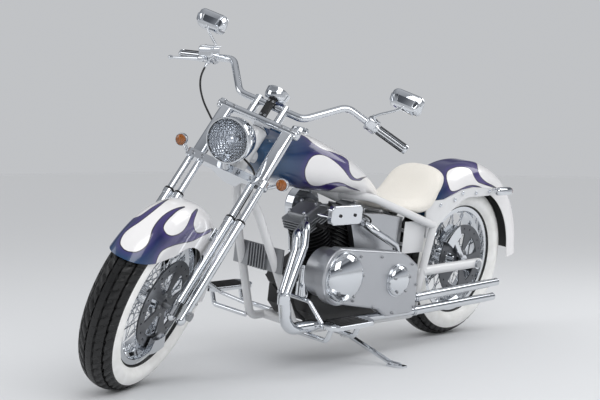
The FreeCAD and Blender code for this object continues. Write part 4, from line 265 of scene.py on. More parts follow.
def tread_material(name, colour):
    """Tyre rubber with slanted cuts in the tread, read from the tyre's own UV map. The cuts are
    coloured darker than the blocks, as painted shade in the grooves.
    """
    material, tree, place = new_material(name)
    pores = grain(tree, place, 600.0, 4.0)
    uv = add_node(tree, "ShaderNodeUVMap", uv_map="around")
    split = add_node(tree, "ShaderNodeSeparateXYZ", {"Vector": uv.outputs["UV"]})
    turn, out = split.outputs["X"], split.outputs["Y"]
    slanted = calc(tree, "ADD", turn, calc(tree, "MULTIPLY", out, 2.6))
    cut = share_between(tree, calc(tree, "PINGPONG", slanted, 1.0), 0.12, 0.2)
    relief = calc(tree, "MAXIMUM", cut, share_between(tree, out, 0.92, 0.98))
    # painted shade: where the relief is low, in the cuts, the colour is darker; the relief also
    # shapes the bump
    return dressed(material,
                   Base_Color=mixed(tree, relief, shade(colour, 0.3), shade(colour, 0.75)),
                   Roughness=ramp_between(tree, pores, 0.32, 0.5),
                   Normal=bump(tree, relief, 0.003, 0.8))


def paint_material(name, colours, width):
    """Pearl enamel with flames under clear lacquer. The sheet's attributes give each point's
    distance to the nearest flame edge in metres, and how far back it lies."""
    material, tree, place = new_material(name)
    edge, back = (add_node(tree, "ShaderNodeAttribute", attribute_name=layer).outputs["Fac"]
                  for layer in ("paint_edge", "paint_back"))
    cloud = grain(tree, place, 14.0)
    reach = calc(tree, "ADD", back, calc(tree, "MULTIPLY", cloud, 0.14))
    fade = colour_ramp(tree, reach, ((0.08, colours.teal), (0.42, colours.indigo),
                                     (0.95, colours.violet)))
    glow = calc(tree, "MULTIPLY", share_between(tree, edge, -0.022, -0.002), 0.55)
    flame = mixed(tree, glow, fade, full(colours.violet))
    pearl = mixed(tree, cloud, shade(colours.pearl, 0.97), full(colours.pearl))
    ground = mixed(tree, share_between(tree, edge, -0.0004, 0.0004), flame, pearl)
    line = share_between(tree, calc(tree, "ABSOLUTE", edge), width / 2, width / 2 + 0.0006)
    return dressed(material, Base_Color=mixed(tree, line, full(colours.stripe), ground),
                   Roughness=0.32, Coat_Weight=1.0, Coat_Roughness=0.03,
                   Normal=bump(tree, grain(tree, place, 260.0, 1.0), 0.0002, 0.06))


def leather_material(name, colour):
    """Smooth dyed hide: pebbled grain of about 1.5 mm, with painted shade in the creases between
    the pebbles, and slight unevenness of tone.
    """
    material, tree, place = new_material(name)
    drift = grain(tree, place, 12.0, 4.0)
    hide = mixed(tree, drift, shade(colour, 0.9), full(colour))
    pebble = add_node(tree, "ShaderNodeTexVoronoi", {"Vector": place, "Scale": 650.0},
                      feature="DISTANCE_TO_EDGE").outputs["Distance"]
    crease = share_between(tree, pebble, 0.0, 0.12)
    # painted shade: the crease mask darkens the colour between the pebbles, and also shapes the
    # bump
    return dressed(material, Base_Color=mixed(tree, crease, shade(colour, 0.8), hide),
                   Roughness=ramp_between(tree, drift, 0.38, 0.52),
                   Sheen_Weight=0.15, Specular_IOR_Level=0.45,
                   Normal=bump(tree, crease, 0.0004, 0.35))


def lens_material(name, colour):
    """Moulded lamp plastic, tinted through, with fine ribs inside."""
    material, tree, place = new_material(name)
    ribs = add_node(tree, "ShaderNodeTexWave", {"Vector": place, "Scale": 90.0,
                                                "Distortion": 0.2}).outputs["Fac"]
    return dressed(material,
                   Base_Color=mixed(tree, ribs, shade(colour, 0.7), shade(colour, 1.25)),
                   Roughness=0.08, Transmission_Weight=0.35, Coat_Weight=0.6,
                   Normal=bump(tree, ribs, 0.0005, 0.25))


def glass_material(name):
    """Clear lamp glass, thin enough to see the reflector through."""
    material, tree, place = new_material(name)
    haze = grain(tree, place, 40.0)
    return dressed(material, Base_Color=(0.95, 0.97, 1.0, 1.0), Transmission_Weight=1.0,
                   Roughness=ramp_between(tree, haze, 0.0, 0.03))


def reflector_material(name, colour):
    """Vacuum-plated reflector, pressed in facets about 9 mm across, each facet's colour painted
    darker towards its edges as painted shade.
    """
    material, tree, place = new_material(name)
    facets = add_node(tree, "ShaderNodeTexVoronoi", {"Vector": place, "Scale": 105.0,
                                                     "Randomness": 0.35}).outputs["Distance"]
    # painted shade: the colour darkens from each facet's middle to its edges
    return dressed(material, Base_Color=mixed(tree, facets, full(colour), shade(colour, 0.5)),
                   Metallic=1.0, Roughness=0.1, Normal=bump(tree, facets, 0.004, 0.7))


def paper_material(name, colour):
    """Seamless studio paper: matt, with the faintest fibre."""
    material, tree, place = new_material(name)
    fibre = grain(tree, place, 30.0, 3.0)
    return dressed(material, Roughness=0.9,
                   Base_Color=mixed(tree, fibre, shade(colour, 0.985), full(colour)))


MATERIALS = {}


def make_materials(colours, sizes):
    """The finishes, by the record's slot where they have one."""
    metals = (
        ("mirror_glass", colours.chrome, 0.012, 60.0, 0.00002, 0.01),
        ("chrome", colours.chrome, 0.035, 60.0, 0.0002, 0.04),
        ("satin_silver", colours.satin, 0.3, 500.0, 0.0002, 0.12),
        ("cast_alloy", colours.alloy, 0.38, 420.0, 0.0008, 0.2),
        ("steel", colours.steel, 0.28, 300.0, 0.0003, 0.15),
    )
    for name, *measures in metals:
        MATERIALS[name] = plain_metal(name + "_plate", *measures)
    rubber = rubber_material("moulded_black_rubber", colours.rubber)
    MATERIALS.update({
        "frame_powder": coated("white_powder_coat", colours.powder, 0.3, 420.0, 0.0003),
        "engine_black": coated("black_wrinkle_enamel", colours.black, 0.42, 650.0, 0.0007,
                               0.2, 0.25),
        "black_rubber": rubber,
        "tyre_rubber": rubber,
        "tread": tread_material("tyre_tread_rubber", colours.rubber),
        "whitewall": rubber_material("white_wall_rubber", colours.whitewall, 0.5, 400.0),
        "flame_paint": paint_material("lacquered_flame_enamel", colours, sizes.stripe_width),
        "seat_leather": leather_material("ivory_leather", colours.ivory),
        "amber": lens_material("amber_lens", colours.amber),
        "red": lens_material("red_lens", colours.red),
        "lamp_glass": glass_material("clear_lamp_glass"),
        "reflector": reflector_material("plated_reflector", colours.chrome),
    })
    for end in ("front", "rear"):
        MATERIALS[end + "_disc"] = turned_metal(end + "_disc_steel", colours.disc, 0.26,
                                                wheel_frame(end))


def wheel_frame(end):
    """A wheel's frame in the row: its own Z along the axle, towards the machine's left."""
    hub = FORK @ at(FORK_OFFSET, 0, 0) if end == "front" else MACHINE @ at(*REAR_AXLE)
    return hub @ Matrix.Rotation(-math.pi / 2, 4, "X")


# Modelling helpers


def at(*spot):
    return Matrix.Translation(spot)


def fresh():
    """Leaves edit mode and deselects everything."""
    if bpy.context.object and bpy.context.object.mode != "OBJECT":
        bpy.ops.object.mode_set(mode="OBJECT")
    bpy.ops.object.select_all(action="DESELECT")


def only(piece):
    fresh()
    piece.select_set(True)
    bpy.context.view_layer.objects.active = piece


@contextlib.contextmanager
def editing(kind=None, select="SELECT"):
    """Edit mode for the active piece, with everything selected or what was selected before."""
    bpy.ops.object.mode_set(mode="EDIT")
    if kind:
        bpy.ops.mesh.select_mode(type=kind)
    if select:
        bpy.ops.mesh.select_all(action=select)
    yield
    bpy.ops.object.mode_set(mode="OBJECT")


def baked(piece):
    """The piece, with its place in its mesh."""
    only(piece)
    bpy.ops.object.transform_apply(location=True, rotation=True, scale=True)
    return piece


def apply_modifier(piece, kind, **settings):
    only(piece)
    modifier = piece.modifiers.new(kind.lower(), kind)
    for name, value in settings.items():
        setattr(modifier, name, value)
    bpy.ops.object.modifier_apply(modifier=modifier.name)


def smooth(piece, degrees=32.0):
    only(piece)
    bpy.ops.object.shade_smooth_by_angle(angle=math.radians(degrees))


def settle(piece, name, place, finish, body, replaces=(), angle=None):
    """Names a piece, puts its place into its mesh, gives it a finish and lets it ride."""
    only(piece)
    piece.name = name
    piece.data.name = name
    piece.matrix_world = place @ piece.matrix_world
    baked(piece)
    if finish:
        piece.data.materials.clear()
        piece.data.materials.append(MATERIALS[finish])
    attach(piece, body)
    if replaces:
        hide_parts(*replaces)
    if angle:
        smooth(piece, angle)
    return piece


def outward(piece):
    """Points every face outwards."""
    only(piece)
    with editing():
        bpy.ops.mesh.normals_make_consistent(inside=False)


def weld(piece, distance):
    """Merges points that lie on each other."""
    only(piece)
    with editing():
        bpy.ops.mesh.remove_doubles(threshold=distance)


def pick(piece, kind, chosen):
    """Selects the faces or the edges that are chosen, and nothing else."""
    only(piece)
    bpy.ops.object.mode_set(mode="EDIT")
    bpy.ops.mesh.select_mode(type=kind)
    bpy.ops.mesh.select_all(action="DESELECT")
    bpy.ops.object.mode_set(mode="OBJECT")
    for element in piece.data.polygons if kind == "FACE" else piece.data.edges:
        element.select = chosen(element)


def lathe(profile, steps=64, ring=False):
    """Turned about Z: a circle extruded and resized along (radius, height) points. Both ends
    are closed, or joined to each other for a ring."""
    fresh()
    radius, height = profile[0]
    bpy.ops.mesh.primitive_circle_add(vertices=steps, radius=radius, location=(0, 0, height),
                                      fill_type="NOTHING")
    piece = bpy.context.object
    bpy.ops.object.transform_apply(location=True)
    extrude = bpy.ops.mesh.extrude_edges_move if ring else bpy.ops.mesh.extrude_region_move
    with editing():
        if not ring:
            bpy.ops.mesh.edge_face_add()
        for next_radius, next_height in profile[1:]:
            extrude(TRANSFORM_OT_translate={"value": (0, 0, next_height - height)})
            ratio = next_radius / radius
            bpy.ops.transform.resize(value=(ratio, ratio, 1), center_override=(0, 0, next_height))
            radius, height = next_radius, next_height
    if ring:
        count = len(piece.data.vertices)
        for index in list(range(steps)) + list(range(count - steps, count)):
            piece.data.vertices[index].select = True
        with editing("VERT", None):
            bpy.ops.mesh.bridge_edge_loops()
    outward(piece)
    return piece


def drawn_curve(name, points, radius, sides, steps):
    """A round NURBS line through control points, as a curve object."""
    curve = bpy.data.curves.new(name, "CURVE")
    curve.dimensions = "3D"
    curve.bevel_depth = radius
    curve.bevel_resolution = sides
    curve.resolution_u = steps
    curve.use_fill_caps = True
    spline = curve.splines.new("NURBS")
    spline.points.add(len(points) - 1)
    for point, spot in zip(spline.points, points):
        point.co = (*spot, 1.0)
    spline.order_u = 3
    spline.use_endpoint_u = True
    line = bpy.data.objects.new(name, curve)
    bpy.context.scene.collection.objects.link(line)
    return line


def tube(points, radius, sides=6):
    """A round bar along a smooth line of control points."""
    only(drawn_curve("tube", points, radius, sides, 10))
    bpy.ops.object.convert(target="MESH")
    piece = bpy.context.object
    weld(piece, 1e-6)
    outward(piece)
    smooth(piece)
    return piece


def screw_head(radius, height, sides=24, socket=True):
    """A socket screw: a cylinder with a raised rim and a sunk middle, or a plain domed nut."""
    fresh()
    bpy.ops.mesh.primitive_cylinder_add(vertices=sides, radius=radius, depth=height,
                                        location=(0, 0, height / 2))
    piece = bpy.context.object
    bpy.ops.object.transform_apply(location=True)
    pick(piece, "FACE", lambda face: face.normal.z > 0.9)
    with editing(select=None):
        bpy.ops.mesh.inset(thickness=radius * 0.18, depth=height * 0.22)
        if socket:
            bpy.ops.mesh.inset(thickness=radius * 0.3, depth=0.0)
            bpy.ops.mesh.extrude_region_move(
                TRANSFORM_OT_translate={"value": (0, 0, -height * 0.6)})
        else:
            bpy.ops.mesh.inset(thickness=radius * 0.4, depth=height * 0.2)
    smooth(piece, 40.0)
    return piece


def aimed(point, direction):
    """A frame at a point with its Z along a direction."""
    turned = Vector(direction).normalized().to_track_quat("Z", "Y").to_matrix().to_4x4()
    return Matrix.Translation(point) @ turned


def put(piece, place):
    piece.matrix_world = place
    return piece


def twin_of(piece):
    """A copy of a piece with a mesh of its own."""
    twin = piece.copy()
    twin.data = piece.data.copy()
    bpy.context.scene.collection.objects.link(twin)
    return twin


def joined(pieces):
    fresh()
    for piece in pieces:
        piece.select_set(True)
    bpy.context.view_layer.objects.active = pieces[0]
    if len(pieces) > 1:
        bpy.ops.object.join()
    return bpy.context.object


def copies(base, places):
    """One piece made of copies of a base, each with its own mesh, joined; the base goes."""
    fresh()
    made = [put(twin_of(base), place @ base.matrix_world) for place in places]
    bpy.data.objects.remove(base)
    return baked(joined(made))


def rounded_block(size, corner, segments=3):
    """A block about its centre with round edges."""
    fresh()
    bpy.ops.mesh.primitive_cube_add(size=1)
    piece = bpy.context.object
    piece.scale = size
    bpy.ops.object.transform_apply(scale=True)
    with editing():
        bpy.ops.mesh.bevel(offset=corner, segments=segments, affect="EDGES")
    smooth(piece, 40.0)
    return piece


def mirrored(piece):
    """Adds the same shape on the other side of the machine."""
    baked(piece)
    twin = twin_of(piece)
    only(twin)
    twin.scale.y = -1
    bpy.ops.object.transform_apply(scale=True)
    both = joined([piece, twin])
    outward(both)
    return both


def grid_sheet(columns, rows, placed):
    """A grid whose points are all put in place: placed(u, v) takes arrays from 0 to 1."""
    fresh()
    bpy.ops.mesh.primitive_grid_add(x_subdivisions=columns, y_subdivisions=rows, size=2)
    piece = bpy.context.object
    flat = np.empty(len(piece.data.vertices) * 3)
    piece.data.vertices.foreach_get("co", flat)
    flat = flat.reshape(-1, 3)
    spots, marks = placed((flat[:, 0] + 1) / 2, (flat[:, 1] + 1) / 2)
    piece.data.vertices.foreach_set("co", spots.ravel())
    for name, values in marks.items():
        layer = piece.data.attributes.new(name, "FLOAT", "POINT")
        layer.data.foreach_set("value", values.astype(np.float32))
    piece.data.update()
    return piece


# Flames: closed loops in each panel's own unrolled coordinates, smoothed, then measured


def smooth_loop(corners, per_side=6):
    """A closed Catmull-Rom line through the corners."""
    p = np.array(corners, float)
    before, after, beyond = np.roll(p, 1, 0), np.roll(p, -1, 0), np.roll(p, -2, 0)
    rows = []
    for t in np.linspace(0, 1, per_side, endpoint=False):
        rows.append(0.5 * (2 * p + (after - before) * t
                           + (2 * before - 5 * p + 4 * after - beyond) * t ** 2
                           + (3 * p - before - 3 * after + beyond) * t ** 3))
    return np.stack(rows, 1).reshape(-1, 2)


SPOTS_AT_ONCE = 4000              # keeps the table of spots and edges small


def edge_distance(spots, loop):
    """Distance to a closed loop, below zero inside it."""
    start, end = loop, np.roll(loop, -1, 0)
    run = end - start
    length = np.maximum((run ** 2).sum(1), 1e-18)
    result = np.empty(len(spots))
    for first in range(0, len(spots), SPOTS_AT_ONCE):
        s = spots[first:first + SPOTS_AT_ONCE]
        offset = s[:, None] - start[None]
        t = np.clip((offset * run).sum(2) / length, 0, 1)
        gap = np.sqrt(((offset - run * t[..., None]) ** 2).sum(2)).min(1)
        rises = (start[None, :, 1] > s[:, None, 1]) != (end[None, :, 1] > s[:, None, 1])
        with np.errstate(divide="ignore", invalid="ignore"):
            cross = start[None, :, 0] + offset[..., 1] * run[None, :, 0] / run[None, :, 1]
        inside = (rises & (s[:, None, 0] < cross)).sum(1) % 2 == 1
        result[first:first + SPOTS_AT_ONCE] = np.where(inside, -gap, gap)
    return result


TANK_FLAME = [
    (1240, 100), (1120, 100), (1085, 78), (1068, 58), (1061, 42), (1035, 32), (1007, 30),
    (976, 32), (941, 34), (908, 36), (884, 32), (888, 20), (889, 6), (868, -1), (830, -3),
    (780, 6), (722, 24), (790, 0), (835, -7), (870, -8), (900, -2), (930, 4), (960, 10),
    (1000, 16), (1040, 17), (1077, 12), (1098, 1), (1103, -12), (1088, -28), (1059, -40),
    (1024, -47), (997, -44), (975, -32), (945, -24), (905, -23), (850, -28), (752, -33),
    (830, -34), (885, -30), (915, -35), (922, -48), (905, -64), (880, -100), (1240, -100),
]
FRONT_FLAME = [
    (15, -30), (39.8, -14), (39.3, 0), (39.8, 14), (41.5, 30), (45, 40), (49, 42), (53, 35),
    (57, 26), (63, 20), (70, 18), (78, 21), (88, 30), (80, 31), (73, 34), (67, 37), (63, 43),
    (61.5, 55), (62, 70), (65, 84), (70, 93), (75, 95), (80, 88), (85, 74), (90, 60),
    (100, 46), (95, 62),
    (91, 76), (89, 92), (91, 108), (95, 120), (100, 125), (107, 122), (114, 108), (126, 84),
    (118, 112), (111, 130), (103, 143), (96, 150), (88, 150), (80, 143), (72, 132), (64, 116),
    (57, 100), (52, 92), (48, 95), (45, 104), (42, 122), (38, 190), (15, 190),
]
REAR_FLAME = [
    (15, -40), (98.4, -20), (98, 0), (98.4, 20), (98, 40), (96.5, 60), (94, 80), (92.5, 104),
    (94, 124), (99, 138), (106, 143), (122, 138), (108, 150), (99, 152), (92, 147), (88, 134),
    (86, 118), (85.5, 100), (84, 84), (80, 70), (75, 60), (69, 56), (65, 64), (62, 80), (60, 100),
    (59, 120), (60.5, 136), (65, 147), (71, 152), (79, 154), (88, 160), (104, 176), (90, 168),
    (80, 163), (70, 162), (62, 160), (56, 168), (52, 185), (48, 205), (15, 205),
]


def fender_section(across, half_width, shoulder):
    """Where a width across the sheet lies: out to the side and down from the crown."""
    flat = half_width - shoulder
    quarter = shoulder * math.pi / 2
    width = np.abs(across)
    angle = np.clip((width - flat) / shoulder, 0, math.pi / 2)
    side = np.where(width < flat, width, flat + shoulder * np.sin(angle))
    drop = shoulder * (1 - np.cos(angle)) + np.maximum(width - flat - quarter, 0)
    return np.sign(across) * side, drop


def fender_sheet(radius, half_width, shoulder, depth, start, stop, tail, skirt, flame, rows):
    """One fender's outer skin about the wheel's centre, with its paint attributes."""
    widest = half_width - shoulder + shoulder * math.pi / 2 + depth - shoulder

    def placed(u, v):
        across = (2 * v - 1) * widest
        side, drop = fender_section(across, half_width, shoulder)
        level = radius - drop
        begin = np.full_like(u, start)
        if skirt:
            begin = np.maximum(begin, np.degrees(np.arcsin(np.clip(skirt / level, 0, 1))))
        tail_angle = math.degrees(tail / radius)
        angle = begin + u * (stop + tail_angle - begin)
        bent = np.radians(np.minimum(angle, stop))
        beyond = np.radians(np.maximum(angle - stop, 0)) * radius
        spots = np.stack([level * np.cos(bent) - beyond * np.sin(bent), side,
                          level * np.sin(bent) + beyond * np.cos(bent)], 1)
        scale = np.array([math.radians(radius), 0.001])
        loop = smooth_loop(flame) * scale
        drawn = np.stack([angle, np.abs(across) * 1000], 1) * scale
        marks = {"paint_edge": edge_distance(drawn, loop), "paint_back": (angle - start) / 90}
        return spots, marks

    return grid_sheet(rows, rows // 2, placed)


def cubic(knots, values, along):
    """A natural cubic line through values at rising knots."""
    knots, values = np.array(knots), np.array(values)
    count = len(knots)
    step = np.diff(knots)
    matrix, right = np.eye(count), np.zeros(count)
    for i in range(1, count - 1):
        matrix[i, i - 1:i + 2] = step[i - 1], 2 * (step[i - 1] + step[i]), step[i]
        right[i] = 6 * ((values[i + 1] - values[i]) / step[i]
                        - (values[i] - values[i - 1]) / step[i - 1])
    bend = np.linalg.solve(matrix, right)
    i = np.clip(np.searchsorted(knots, along) - 1, 0, count - 2)
    a, b, h = knots[i + 1] - along, along - knots[i], step[i]
    return ((bend[i] * a ** 3 + bend[i + 1] * b ** 3) / (6 * h)
            + (values[i] / h - bend[i] * h / 6) * a
            + (values[i + 1] / h - bend[i + 1] * h / 6) * b)


# Tank stations from back to front: place along, lowest, highest, half width, as shares

TANK_SHARES = (
    (0.0, 0.0, 0.153, 0.218), (0.066, 0.015, 0.26, 0.385), (0.216, 0.092, 0.48, 0.654),
    (0.396, 0.16, 0.71, 0.897), (0.577, 0.206, 0.885, 1.0), (0.697, 0.237, 0.985, 0.96),
    (0.809, 0.286, 1.0, 0.885), (0.892, 0.366, 0.924, 0.756), (0.967, 0.477, 0.863, 0.54),
    (1.0, 0.59, 0.786, 0.33),
)
TANK_REAR, TANK_LENGTH, TANK_LOW, TANK_HEIGHT, TANK_HALF = 0.556, 0.666, 0.580, 0.262, 0.156
TANK_SQUARENESS = 2.4             # 2 would make each section an ellipse
TANK_CLOSING = 0.02               # share of the length over which an end closes
TANK_FRONT, FADE_LENGTH = 1.2, 0.4
METRES_PER_DEGREE = 0.0023        # round the tank's side, for the flames


def tank_sheet():
    """The fuel tank's skin from the measured stations, closed at both ends."""
    share, low, high, half = (np.array(c) for c in zip(*TANK_SHARES))

    def placed(u, v):
        along = np.clip((u - TANK_CLOSING) / (1 - 2 * TANK_CLOSING), 0, 1)
        end = np.clip(np.minimum(u, 1 - u) / TANK_CLOSING, 0, 1)
        close = np.sqrt(1 - (1 - end) ** 2)
        bottom, top = cubic(share, low, along), cubic(share, high, along)
        wide = cubic(share, half, along) * TANK_HALF * close
        middle = TANK_LOW + TANK_HEIGHT * (bottom + top) / 2
        rise = TANK_HEIGHT * (top - bottom) / 2 * close
        turn = v * 2 * math.pi
        c, s = np.cos(turn), np.sin(turn)
        power = 2 / TANK_SQUARENESS
        spots = np.stack([
            TANK_REAR + along * TANK_LENGTH,
            wide * np.sign(c) * np.abs(c) ** power,
            middle + rise * np.sign(s) * np.abs(s) ** power], 1)
        angle = np.degrees(np.arctan2(s, np.abs(c)))
        scale = np.array([0.001, METRES_PER_DEGREE])
        loop = smooth_loop(TANK_FLAME) * scale
        drawn = np.stack([spots[:, 0] * 1000, angle], 1) * scale
        back = (TANK_FRONT - spots[:, 0]) / FADE_LENGTH
        marks = {"paint_edge": edge_distance(drawn, loop), "paint_back": back}
        return spots, marks

    return grid_sheet(180, 200, placed)


# Operators, one for each piece or group of like pieces


class PieceOperator:
    """What every operator here shares."""
    bl_options = {"REGISTER", "UNDO"}

    def execute(self, context):
        self.build(context.scene.chopper_sizes, context.scene.chopper_colours)
        return {"FINISHED"}


class CHOPPER_OT_finishes(PieceOperator, bpy.types.Operator):
    """Makes the materials and gives each node of the CAD model its own"""
    bl_idname = "chopper.finishes"
    bl_label = "Finishes"

    def build(self, sizes, colours):
        make_materials(colours, sizes)
        own = {"front_disc": "front_disc", "rear_disc": "rear_disc", "rear_pulley": "rear_disc"}
        for part in frame["record"]["subparts"]:
            node = frame["nodes"][part["node"]]
            finish = own.get(part["node"], part["material_slot"])
            node.data.materials.clear()
            node.data.materials.append(MATERIALS[finish])
            smooth(node, 30.0)


TYRES = {
    "front": {"radius": 0.318, "width": 0.136, "rim": 0.080},
    "rear": {"radius": 0.325, "width": 0.148, "rim": 0.092},
}
RIM_RADIUS, BEAD_RADIUS = 0.217, 0.203
GROOVES = (-0.62, -0.2, 0.2, 0.62)
CUT_FROM, CUT_TO = 14, 57         # degrees out from the crown's middle
CUT_STEP, CUT_SLANT = 1.25, 4.5   # degrees round the tyre, and out, for one column of points
CUT_EVERY, CUT_WIDTH = 6, 1.6     # columns
WHITE_INNER, WHITE_OUTER = 0.006, 0.038   # from the rim's edge, and from the crown
MAP_TURNS = 22                    # the tread's map repeats for each radian


class CHOPPER_OT_tyres(PieceOperator, bpy.types.Operator):
    """White-wall tyres with a grooved and cut tread"""
    bl_idname = "chopper.tyres"
    bl_label = "Tyres"

    def build(self, sizes, colours):
        for end, tyre in TYRES.items():
            piece = lathe(self.profile(tyre, sizes.tread_depth), 288, ring=True)
            self.cut_tread(piece, tyre, sizes.tread_depth)
            self.paint(piece, tyre)
            settle(piece, end + "_tyre_tread", wheel_frame(end), None, end + "_wheel",
                   [end + "_tyre"], angle=28.0)

    def profile(self, tyre, depth):
        """Bead to bead: side wall, shoulder and a crown with four grooves."""
        crown = tyre["width"] / 2 - 0.0005
        widest = tyre["radius"] - tyre["width"] / 2
        bead = tyre["rim"] / 2 - 0.0006
        points = [(BEAD_RADIUS + 0.0004, -bead), (RIM_RADIUS + 0.001, -bead)]
        for t in (0.2, 0.4, 0.6, 0.8):
            radius = RIM_RADIUS + (widest - RIM_RADIUS) * t
            bulge = bead + (crown - bead) * math.sin(t * math.pi / 2) ** 0.9
            points.append((radius, -bulge))
        for degrees in range(-90, 91, 5):
            angle = math.radians(degrees)
            points.append((widest + crown * math.cos(angle), crown * math.sin(angle)))
        for share in GROOVES:
            angle = math.asin(share)
            for offset, drop in ((-0.045, 0), (-0.03, depth), (0.03, depth), (0.045, 0)):
                turned = angle + offset
                points.append((widest + (crown - drop) * math.cos(turned),
                               (crown - drop) * math.sin(turned)))
        tread = sorted([p for p in points if p[0] > widest],
                       key=lambda p: math.atan2(p[1], p[0] - widest))
        wall = sorted({p for p in points if p[0] <= widest and p[1] < 0}, key=lambda p: p[0])
        return wall + tread + [(radius, -height) for radius, height in reversed(wall)]

    def cut_tread(self, piece, tyre, depth):
        """Sinks slanted rows of points, which leaves a block tread on each side of the middle."""
        mesh = piece.data
        widest = tyre["radius"] - tyre["width"] / 2
        for vertex in mesh.vertices:
            x, y, z = vertex.co
            radius = math.hypot(x, y)
            out = math.degrees(math.atan2(abs(z), radius - widest))
            if radius < widest or out > CUT_TO or out < CUT_FROM:
                continue
            column = math.degrees(math.atan2(y, x)) / CUT_STEP + out / CUT_SLANT
            if (column + (0 if z > 0 else CUT_EVERY // 2)) % CUT_EVERY < CUT_WIDTH:
                ratio = (radius - depth * 0.9) / radius
                vertex.co = (x * ratio, y * ratio, z)

    def paint(self, piece, tyre):
        """White on the side walls, and a map that runs round the tread."""
        mesh = piece.data
        mesh.materials.append(MATERIALS["tread"])
        mesh.materials.append(MATERIALS["whitewall"])
        layer = mesh.uv_layers.new(name="around")
        white_low, white_high = RIM_RADIUS + WHITE_INNER, tyre["radius"] - WHITE_OUTER
        for face in mesh.polygons:
            centre = face.center
            radius = math.hypot(centre.x, centre.y)
            face.material_index = 1 if white_low < radius < white_high else 0
            middle = math.atan2(centre.y, centre.x)
            for corner in face.loop_indices:
                spot = mesh.vertices[mesh.loops[corner].vertex_index].co
                turn = math.atan2(spot.y, spot.x)
                turn += 2 * math.pi * round((middle - turn) / (2 * math.pi))
                layer.data[corner].uv = (turn * MAP_TURNS, abs(spot.z) / (tyre["width"] / 2))


SPOKES_A_SIDE = 30
SPOKE_SWING = 44                  # degrees that a crossed spoke runs forward or back
NIPPLE_REACH = 0.186


class CHOPPER_OT_wheel_trim(PieceOperator, bpy.types.Operator):
    """Spoke nipples, disc bolts and tyre valves"""
    bl_idname = "chopper.wheel_trim"
    bl_label = "Wheel trim"

    def build(self, sizes, colours):
        for end, hub_half in (("front", 0.054), ("rear", 0.065)):
            place = wheel_frame(end)
            body = end + "_wheel"
            nipple = lathe([(0.0022, 0.0), (0.0030, 0.001), (0.0030, 0.009), (0.0024, 0.011)], 8)
            spots = []
            for side in (1, -1):
                for index in range(SPOKES_A_SIDE):
                    angle = math.radians(360 / SPOKES_A_SIDE * (index + side / 4)
                                         + SPOKE_SWING * (1 if index % 2 else -1))
                    c, s = math.cos(angle), math.sin(angle)
                    spots.append(aimed((NIPPLE_REACH * c, NIPPLE_REACH * s, side * 0.0054),
                                       (-c, -s, side * 0.15)))
            settle(copies(nipple, spots), end + "_spoke_nipples", place, "chrome", body)
            bolt = screw_head(0.0055, 0.005)
            ring = [aimed((0.036 * math.cos(a), 0.036 * math.sin(a), hub_half + 0.0053), (0, 0, 1))
                    for a in (math.radians(72 * i + 36) for i in range(5))]
            settle(copies(bolt, ring), end + "_disc_bolts", place, "steel", body)
            valve = lathe([(0.004, 0.0), (0.004, 0.018), (0.0028, 0.019), (0.0028, 0.032),
                           (0.0036, 0.033), (0.0036, 0.040), (0.002, 0.041)], 16)
            settle(valve, end + "_tyre_valve",
                   place @ aimed((0.0, -0.187, 0.0), (0.0, 1.0, 0.25)), "chrome", body)


class CHOPPER_OT_painted_panels(PieceOperator, bpy.types.Operator):
    """Fuel tank and both fenders in pearl enamel with flames"""
    bl_idname = "chopper.painted_panels"
    bl_label = "Painted panels"

    def build(self, sizes, colours):
        wall = sizes.fender_wall
        front = fender_sheet(0.328, 0.0766, 0.068, 0.128, 26, 190, 0.0, 0.188, FRONT_FLAME, 220)
        self.finish(front, wall, "front_fender_panel", STEERED @ Matrix.Translation(
            FRONT_AXLE + Vector((0.002, 0, 0))), "steering", "front_fender")
        rear = fender_sheet(0.405, 0.102, 0.076, 0.112, 31, 168, 0.066, 0.0, REAR_FLAME, 240)
        self.finish(rear, wall, "rear_fender_panel", MACHINE @ Matrix.Translation(REAR_AXLE),
                    "frame", "rear_fender")
        tank = tank_sheet()
        weld(tank, 1e-5)
        outward(tank)
        settle(tank, "fuel_tank_panel", MACHINE, "flame_paint", "frame", ["fuel_tank"],
               angle=60.0)
        self.trim()

    def finish(self, sheet, wall, name, place, body, node):
        """Gives the skin its wall, turned inwards, and dark undersides."""
        outward_from_centre(sheet)
        sheet.data.materials.append(MATERIALS["flame_paint"])
        sheet.data.materials.append(MATERIALS["engine_black"])
        apply_modifier(sheet, "SOLIDIFY", thickness=wall, offset=-1, material_offset=1,
                       material_offset_rim=0)
        settle(sheet, name, place, None, body, [node], angle=40.0)

    def trim(self):
        """The filler cap, and the front fender's lugs with their bolts."""
        cap = lathe([(0.026, 0.0), (0.033, 0.001), (0.0335, 0.004), (0.031, 0.010), (0.030, 0.016),
                     (0.026, 0.0195), (0.014, 0.0215), (0.003, 0.022)], 60)
        lean = aimed((1.000, 0.0, 0.8335), (-0.2, 0, 1.0))
        settle(cap, "filler_cap", MACHINE @ lean, "chrome", "frame", ["fuel_cap"],
               angle=30.0)
        lug = rounded_block((0.031, 0.0045, 0.044), 0.002)
        places = [at(FORK_OFFSET, side * 0.0788, 0.272) for side in (1, -1)]
        settle(copies(lug, places), "front_fender_lugs", FORK, "chrome", "steering")
        bolt = screw_head(0.006, 0.005)
        spots = [aimed((FORK_OFFSET + dx, side * 0.0805, 0.272 + dz), (0, side, 0))
                 for side in (1, -1) for dx, dz in ((0.0, 0.012), (0.0, -0.012))]
        settle(copies(bolt, spots), "front_fender_bolts", FORK, "steel", "steering")


def outward_from_centre(sheet):
    """An open shell's faces away from its own origin, where the wheel's centre is."""
    outward(sheet)
    mesh = sheet.data
    score = sum(face.normal.dot(face.center) for face in mesh.polygons)
    if score < 0:
        mesh.flip_normals()


